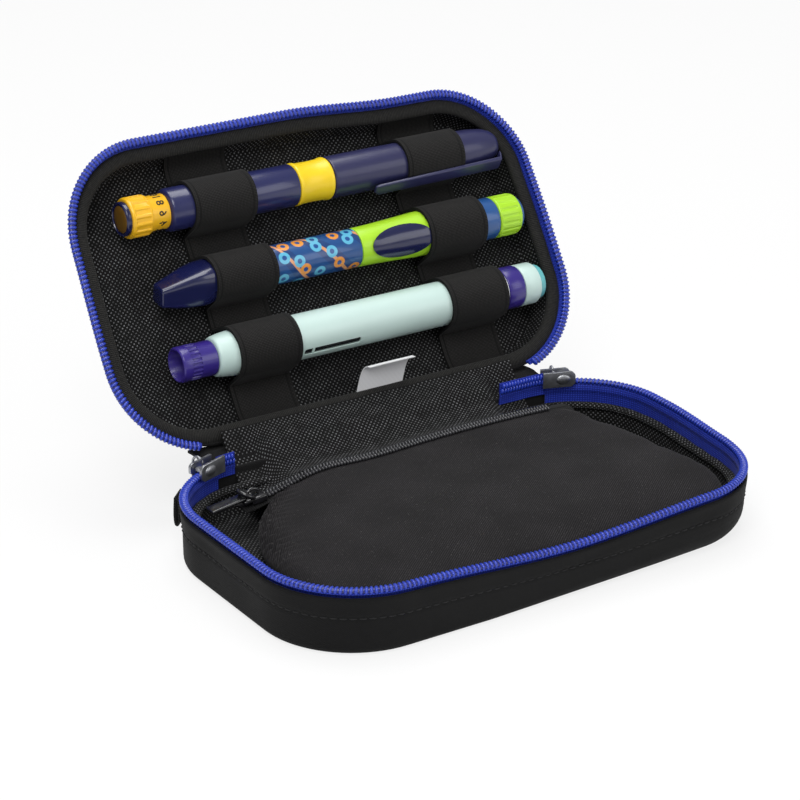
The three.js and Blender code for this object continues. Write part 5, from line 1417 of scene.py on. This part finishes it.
left, _ = span("lower_pen_base_cap")
cap = drawn("lower_cap", "lower_pen_base_cap", [
    (0, 5.6), (0.1, 6.2), (0.6, 6.6), (3.4, 6.6), (3.8, 6.6), (7.6, 6.6), (8.0, 6.5)], (),
    [(0.4, 6.5), (0, 6.2)], sides=72)
edit_faces(cap, faces_left)
bpy.ops.mesh.inset(thickness=0.4 * MM, depth=0)
draw_out(5.5, 0, 0)
bpy.ops.transform.resize(value=(1, 0.9, 0.9), center_override=((left + 5.5) * MM, 0, 0))
bpy.ops.object.mode_set(mode="OBJECT")
inset_faces(cap, lambda middle, normal: left + 3.8 < middle.x < left + 7.6 and abs(normal.x) < 0.3
            and math.hypot(middle.y, middle.z) > 6 and around(middle) % 15 < 10,
            0.1, -0.4, use_boundary=True)
round_edges(cap, 0.08)
fit_pen_piece(cap, "lower", purple, "lower_cap", "purple", "lower_pen_base_cap")

barrel = drawn("lower_barrel", "lower_pen_barrel", [
    (0, 6.7), (0.3, 7.2), (1.0, 7.5), (4.0, 8.0), (9, 8.5), (14, 8.5)],
    [(-26, 8.5), (6, 8.5), (40, 8.5)], [(0.4, 8.5), (0, 8.2)], 0.2)
slot_left, slot_right = span("lower_pen_window")
cutter = block("slot_cutter", ((slot_left + slot_right) / 2, 8.5, 0),
               (slot_right - slot_left, 3.0, 2.7))
add_modifier(cutter, "BEVEL", width=0.9 * MM, segments=4, limit_method="ANGLE")
cutter.data.transform(Matrix.Rotation(SLOT_TURN, 4, "X"))
add_modifier(barrel, "BOOLEAN", operation="DIFFERENCE", object=cutter, solver="EXACT")
bpy.data.objects.remove(cutter)
smooth(barrel, 35)
fit_pen_piece(barrel, "lower", mint, "lower_pen", "mint", "lower_pen_barrel")

window = new_primitive("grid", "lower_slot", x_subdivisions=24, y_subdivisions=6, size=1)
for vertex in window.data.vertices:
    x, w = vertex.co.x, vertex.co.y
    angle = SLOT_TURN + w * 2.9 / 8.0
    along = (slot_left + slot_right) / 2 + x * (slot_right - slot_left - 0.3)
    vertex.co = Vector((along, 7.55 * math.cos(angle), 7.55 * math.sin(angle))) * MM
thicken(window, 0.5, -1)
smooth(window, 40)
fit_pen_piece(window, "lower", smoke, "lower_pen", "smoke", "lower_pen_window")
bridge = block("lower_slot_bridge", (slot_left + 4, 7.95, 0), (0.9, 0.9, 2.9))
round_edges(bridge, 0.2)
bridge.data.transform(Matrix.Rotation(SLOT_TURN, 4, "X"))
fit_pen_piece(bridge, "lower", mint, "lower_pen", "mint")

for name, node, profile, material, body, slot in (
        ("lower_ring", "lower_pen_ring", [(0, 8.0), (0.2, 8.2), (0.8, 8.2), (1, 8.0)],
         ring_white, "lower_pen", "white"),
        ("lower_dose_ring", "lower_pen_dial", [(0, 8.0), (0.06, 8.2), (0.94, 8.2), (1, 8.0)],
         purple, "lower_dial", "purple"),
        ("lower_dial_skirt", "lower_pen_dial_end", [(0, 7.9), (0.06, 8.1), (0.9, 8.05), (1, 7.6)],
         mint, "lower_dial", "mint"),
        ("lower_button_face", "lower_pen_button", [(0, 6.8), (0.6, 6.9), (0.9, 6.6), (1, 6.0)],
         teal, "lower_button", "teal")):
    left, right = span(node)
    piece = turned(name, [(left + (right - left) * part, radius) for part, radius in profile])
    round_edges(piece, 0.15)
    fit_pen_piece(piece, "lower", material, body, slot, node)

# ---- Needle ends ----
# Inside each cap, a clear moulded holder with the glass cartridge of medicine; they show only when a
# cap is drawn off, and keep the shapes of the source.
clear = clouded("clear moulded plastic", 300.0, "#eaf2f4", "#eaf2f4", relief=(0.05, 0.05),
                Roughness=0.1, IOR=1.49, Transmission_Weight=0.85)
glass = clouded("glass cartridge", 200.0, "#f4f8f8", "#f4f8f8", relief=(0.03, 0.05),
                Roughness=0.05, IOR=1.5, Transmission_Weight=0.9)
for node, material in (("upper_pen_holder", clear), ("middle_pen_holder", clear),
                       ("upper_pen_cartridge", glass), ("middle_pen_cartridge", glass),
                       ("lower_pen_cartridge", glass)):
    kept = bpy.data.objects[node]
    for place in kept.material_slots:
        place.material = material

# ---- Main zip sliders ----
# One die-cast gunmetal slider at each end of the zip: two plates joined by a post, with side lips
# that guide the coil, a raised oval on the plate that shows inside and an arch outside for the pull.
SLIDER_RADIUS = 33.8
SLIDER_LENGTH = 11.0
SLIDER_HEIGHT = 6.2
SLIDER_ENDS = ((-1, 110, "left"), (1, 70, "right"))
PULL_RADIUS = 39.75

gunmetal = clouded("gunmetal plated zinc", 380.0, "#8a8c90", "#c0c2c6", 4.0, relief=(0.12, 0.1),
                   gloss=(0.32, 0.52), Metallic=1.0)
black_metal = clouded("black painted zinc", 260.0, "#0b0b0c", "#26262a", 4.0, relief=(0.12, 0.1),
                      Roughness=0.26, IOR=1.5, Coat_Weight=0.5, Coat_Roughness=0.15)


def wire_ring(name, radius, wire, place, turn, segments=(28, 10)):
    """A ring of round wire, with its radii and its place in millimetres."""
    return new_primitive("torus", name, major_segments=segments[0], minor_segments=segments[1],
                         major_radius=radius * MM, minor_radius=wire * MM,
                         location=[value * MM for value in place], rotation=turn)


def at_corner(side, degrees, radius, height):
    """A frame on a rear corner: x along the rim, y outwards, z up."""
    angle = math.radians(degrees)
    middle = Vector((side * CORNER_X + radius * math.cos(angle),
                     CORNER_Y + radius * math.sin(angle), height))
    return Matrix.Translation(middle * MM) @ Matrix.Rotation(angle - math.pi / 2, 4, "Z")


def slider_plate(name, out, lips):
    """One plate of a slider: square at the narrow end, rounded at the mouth, lips along its sides."""
    plate = block(name, (0, out, 0), (SLIDER_LENGTH, 1.1, SLIDER_HEIGHT))
    edit_faces(plate, lambda middle, normal: normal.x > 0.9)
    for step, narrower in ((0.8, 0.86), (0.6, 0.78), (0.3, 0.6)):
        draw_out(step, 0, 0)
        bpy.ops.transform.resize(value=(1, 1, narrower), center_override=(6 * MM, out * MM, 0))
    bpy.ops.object.mode_set(mode="OBJECT")
    edit_faces(plate, lambda middle, normal: abs(normal.z) > 0.9 and abs(middle.x) < 3)
    bpy.ops.mesh.inset(thickness=0.25 * MM, depth=0)
    draw_out(0, lips, 0)
    bpy.ops.object.mode_set(mode="OBJECT")
    return plate


for side, degrees, end in SLIDER_ENDS:
    name = end + "_slider"
    inner = slider_plate("plate", -2.6, 0.35)
    outer = slider_plate("plate", 3.2, -0.35)
    outer.data.transform(Matrix.Diagonal((0.9, 1, 0.72, 1)))
    post = block("post", (3.6, 0, 0), (2.4, 4.4, 1.1))
    arch = wire_ring("arch", 2.3, 0.5, (0, 4.9, 0), (0, math.pi / 2, 0), (20, 8))
    slider = join(name + "_body", inner, outer, post)
    round_edges(slider, 0.6, 3)
    bump = new_primitive("uv_sphere", "bump", segments=20, ring_count=12, radius=1 * MM,
                         location=(2.4 * MM, -3.05 * MM, 0))
    bump.data.transform(Matrix.Translation((2.4 * MM, -3.05 * MM, 0))
                        @ Matrix.Diagonal((2.9, 0.85, 2.0, 1))
                        @ Matrix.Translation((-2.4 * MM, 3.05 * MM, 0)))
    slider = join(name + "_body", slider, bump, arch)
    smooth(slider, 45)
    if side < 0:
        slider.data.transform(Matrix.Rotation(math.pi, 4, "Y"))
    slider.data.transform(at_corner(side, degrees, SLIDER_RADIUS, BASE_RIM))
    dress(slider, gunmetal, "gunmetal", name, name)

# ---- Main zip pulls ----
# A long flat pull hangs outside each slider from a wire ring: black painted metal, with rounded ends
# and an eye near its foot.
for side, degrees, end in SLIDER_ENDS:
    name = end + "_pull"
    plate = block("pull", (0, 0, -12.8), (5.0, 1.4, 18.8))
    for vertex in plate.data.vertices:
        vertex.co.x *= 0.78 if vertex.co.z > -10 * MM else 1.0
    eye = new_primitive("cylinder", "eye", vertices=28, radius=1.4 * MM, depth=4 * MM,
                        location=(0, 0, -19.2 * MM), rotation=(math.pi / 2, 0, 0))
    add_modifier(plate, "BEVEL", width=1.5 * MM, segments=5, limit_method="ANGLE")
    add_modifier(plate, "BOOLEAN", operation="DIFFERENCE", object=eye, solver="EXACT")
    bpy.data.objects.remove(eye)
    ring = wire_ring("ring", 1.9, 0.5, (0, 0, -1.9), (math.pi / 2, 0, 0))
    pull = join(name + "_plate", plate, ring)
    smooth(pull, 40)
    pull.data.transform(at_corner(side, degrees, PULL_RADIUS, BASE_RIM))
    dress(pull, black_metal, "black_metal", name, name)

# ---- Pocket zip slider ----
# A small glossy black slider shuts the pocket: a rounded saddle over the coil with a tall arch on top,
# and a flat pull that lies out to the left, down the slope of the zip.
on_pocket_zip = (Matrix.Translation(Vector((-66.775, 39.0, 17.776)) * MM)
                 @ Matrix.Rotation(math.radians(-8.243), 4, "Y"))

saddle = block("saddle", (0, 0, -1.3), (9.0, 6.0, 2.6))
edit_faces(saddle, faces_left)
bpy.ops.transform.resize(value=(1, 0.72, 0.85), center_override=(-4.5 * MM, 0, -1.3 * MM))
bpy.ops.object.mode_set(mode="OBJECT")
inset_faces(saddle, lambda place, normal: normal.z > 0.9, 0.9, 0.35)
round_edges(saddle, 0.5, 3)
channel = block("channel", (0, 0, -2.1), (12, 4.9, 2.2))
add_modifier(saddle, "BOOLEAN", operation="DIFFERENCE", object=channel, solver="EXACT")
bpy.data.objects.remove(channel)
arch = wire_ring("arch", 2.7, 0.7, (0, 0, 0), (math.pi / 2, 0, 0), (32, 12))
bpy.ops.object.mode_set(mode="EDIT")
bpy.ops.mesh.select_all(action="SELECT")
bpy.ops.mesh.bisect(plane_co=(0, 0, -0.4 * MM), plane_no=(0, 0, 1), clear_inner=True, use_fill=True)
bpy.ops.object.mode_set(mode="OBJECT")
pocket_slider = join("pocket_slider_body", saddle, arch)
smooth(pocket_slider, 40)
pocket_slider.data.transform(on_pocket_zip)
dress(pocket_slider, black_metal, "black_metal", "pocket_slider", "pocket_slider")

plate = block("pull", (-10.2, 0, 1.0), (14.4, 4.6, 1.3))
edit_faces(plate, faces_left)
bpy.ops.transform.resize(value=(1, 1.15, 1), center_override=(-17.4 * MM, 0, 1.0 * MM))
bpy.ops.object.mode_set(mode="OBJECT")
add_modifier(plate, "BEVEL", width=0.55 * MM, segments=3, limit_method="ANGLE")
ring = wire_ring("ring", 2.9, 0.85, (-2.2, 0, 1.6), (0, math.radians(38), 0))
pocket_pull = join("pocket_pull_plate", plate, ring)
smooth(pocket_pull, 40)
pocket_pull.data.transform(on_pocket_zip)
dress(pocket_pull, black_metal, "black_metal", "pocket_pull", "pocket_pull")

# ---- Floor, light and camera ----
# A pale floor that keeps the case's shadow, soft lamps above and in front, and a long lens at the
# height of someone who looks down at the open case from its front left.
CAMERA_TURN = math.radians(-33.17)
CAMERA_HEIGHT = math.radians(23.0)
CAMERA_ROLL = math.radians(0.10)
CAMERA_DISTANCE = 0.935
CAMERA_TARGET = Vector((-0.0348, -0.0068, 0.0633))
FOCAL_PIXELS = 2768
PICTURE_PIXELS = 800

floor = new_primitive("grid", "floor", x_subdivisions=4, y_subdivisions=4, size=12,
                      location=(0, 0, -0.0002))
paper = bpy.data.materials.new("white paper backdrop")
paper.use_nodes = True
shader = paper.node_tree.nodes["Principled BSDF"]
shader.inputs["Base Color"].default_value = linear("#f2f2f2")
shader.inputs["Roughness"].default_value = 0.9
path = add_node(paper, "LightPath")
seen = maths(paper, "MAXIMUM", path.outputs["Is Camera Ray"], path.outputs["Is Glossy Ray"])
seen = maths(paper, "MAXIMUM", seen, path.outputs["Is Transmission Ray"])
part = maths(paper, "MULTIPLY", seen, 0.8)
white = add_node(paper, "Emission", {"Color": (1, 1, 1, 1), "Strength": 1.0})
both = add_node(paper, "MixShader", {
    0: part, 1: shader.outputs["BSDF"], 2: white.outputs["Emission"]})
paper.node_tree.links.new(
    both.outputs[0], paper.node_tree.nodes["Material Output"].inputs["Surface"])
floor.data.materials.append(paper)

world = bpy.data.worlds.new("studio")
bpy.context.scene.world = world
world.use_nodes = True
ambient = world.node_tree.nodes["Background"]
ambient.inputs["Color"].default_value = (1, 1, 1, 1)
ambient.inputs["Strength"].default_value = 0.34
path = add_node(world, "LightPath")
bright = add_node(world, "Background", {"Color": (1, 1, 1, 1), "Strength": 1.0})
both = add_node(world, "MixShader", {
    0: path.outputs["Is Camera Ray"], 1: ambient.outputs[0], 2: bright.outputs[0]})
world.node_tree.links.new(both.outputs[0], world.node_tree.nodes["World Output"].inputs["Surface"])

for name, place, aim, size, power in (
        ("key_lamp", (-0.7, -0.7, 1.3), (0, 0.03, 0.04), 0.8, 13),
        ("top_lamp", (0.1, 0.35, 1.4), (0, 0.05, 0.04), 0.9, 11),
        ("front_lamp", (0.9, -1.2, 0.7), (0, 0.03, 0.05), 0.9, 5)):
    bpy.ops.object.light_add(type="AREA", location=place)
    lamp = bpy.context.object
    lamp.name = name
    lamp.data.size = size
    lamp.data.energy = power
    lamp.rotation_euler = (Vector(aim) - Vector(place)).to_track_quat("-Z", "Y").to_euler()

back = Vector((math.sin(CAMERA_TURN) * math.cos(CAMERA_HEIGHT),
               -math.cos(CAMERA_TURN) * math.cos(CAMERA_HEIGHT), math.sin(CAMERA_HEIGHT)))
level = Vector((math.cos(CAMERA_TURN), math.sin(CAMERA_TURN), 0))
upright = back.cross(level)
right = level * math.cos(CAMERA_ROLL) + upright * math.sin(CAMERA_ROLL)
up = upright * math.cos(CAMERA_ROLL) - level * math.sin(CAMERA_ROLL)
bpy.ops.object.camera_add()
camera = bpy.context.object
camera.matrix_world = Matrix.Translation(CAMERA_TARGET + back * CAMERA_DISTANCE) @ Matrix(
    (right, up, back)).transposed().to_4x4()
camera.data.sensor_width = 36
camera.data.lens = FOCAL_PIXELS / PICTURE_PIXELS * 36
camera.data.clip_end = 50
bpy.context.scene.camera = camera
bpy.context.scene.view_settings.view_transform = "Standard"
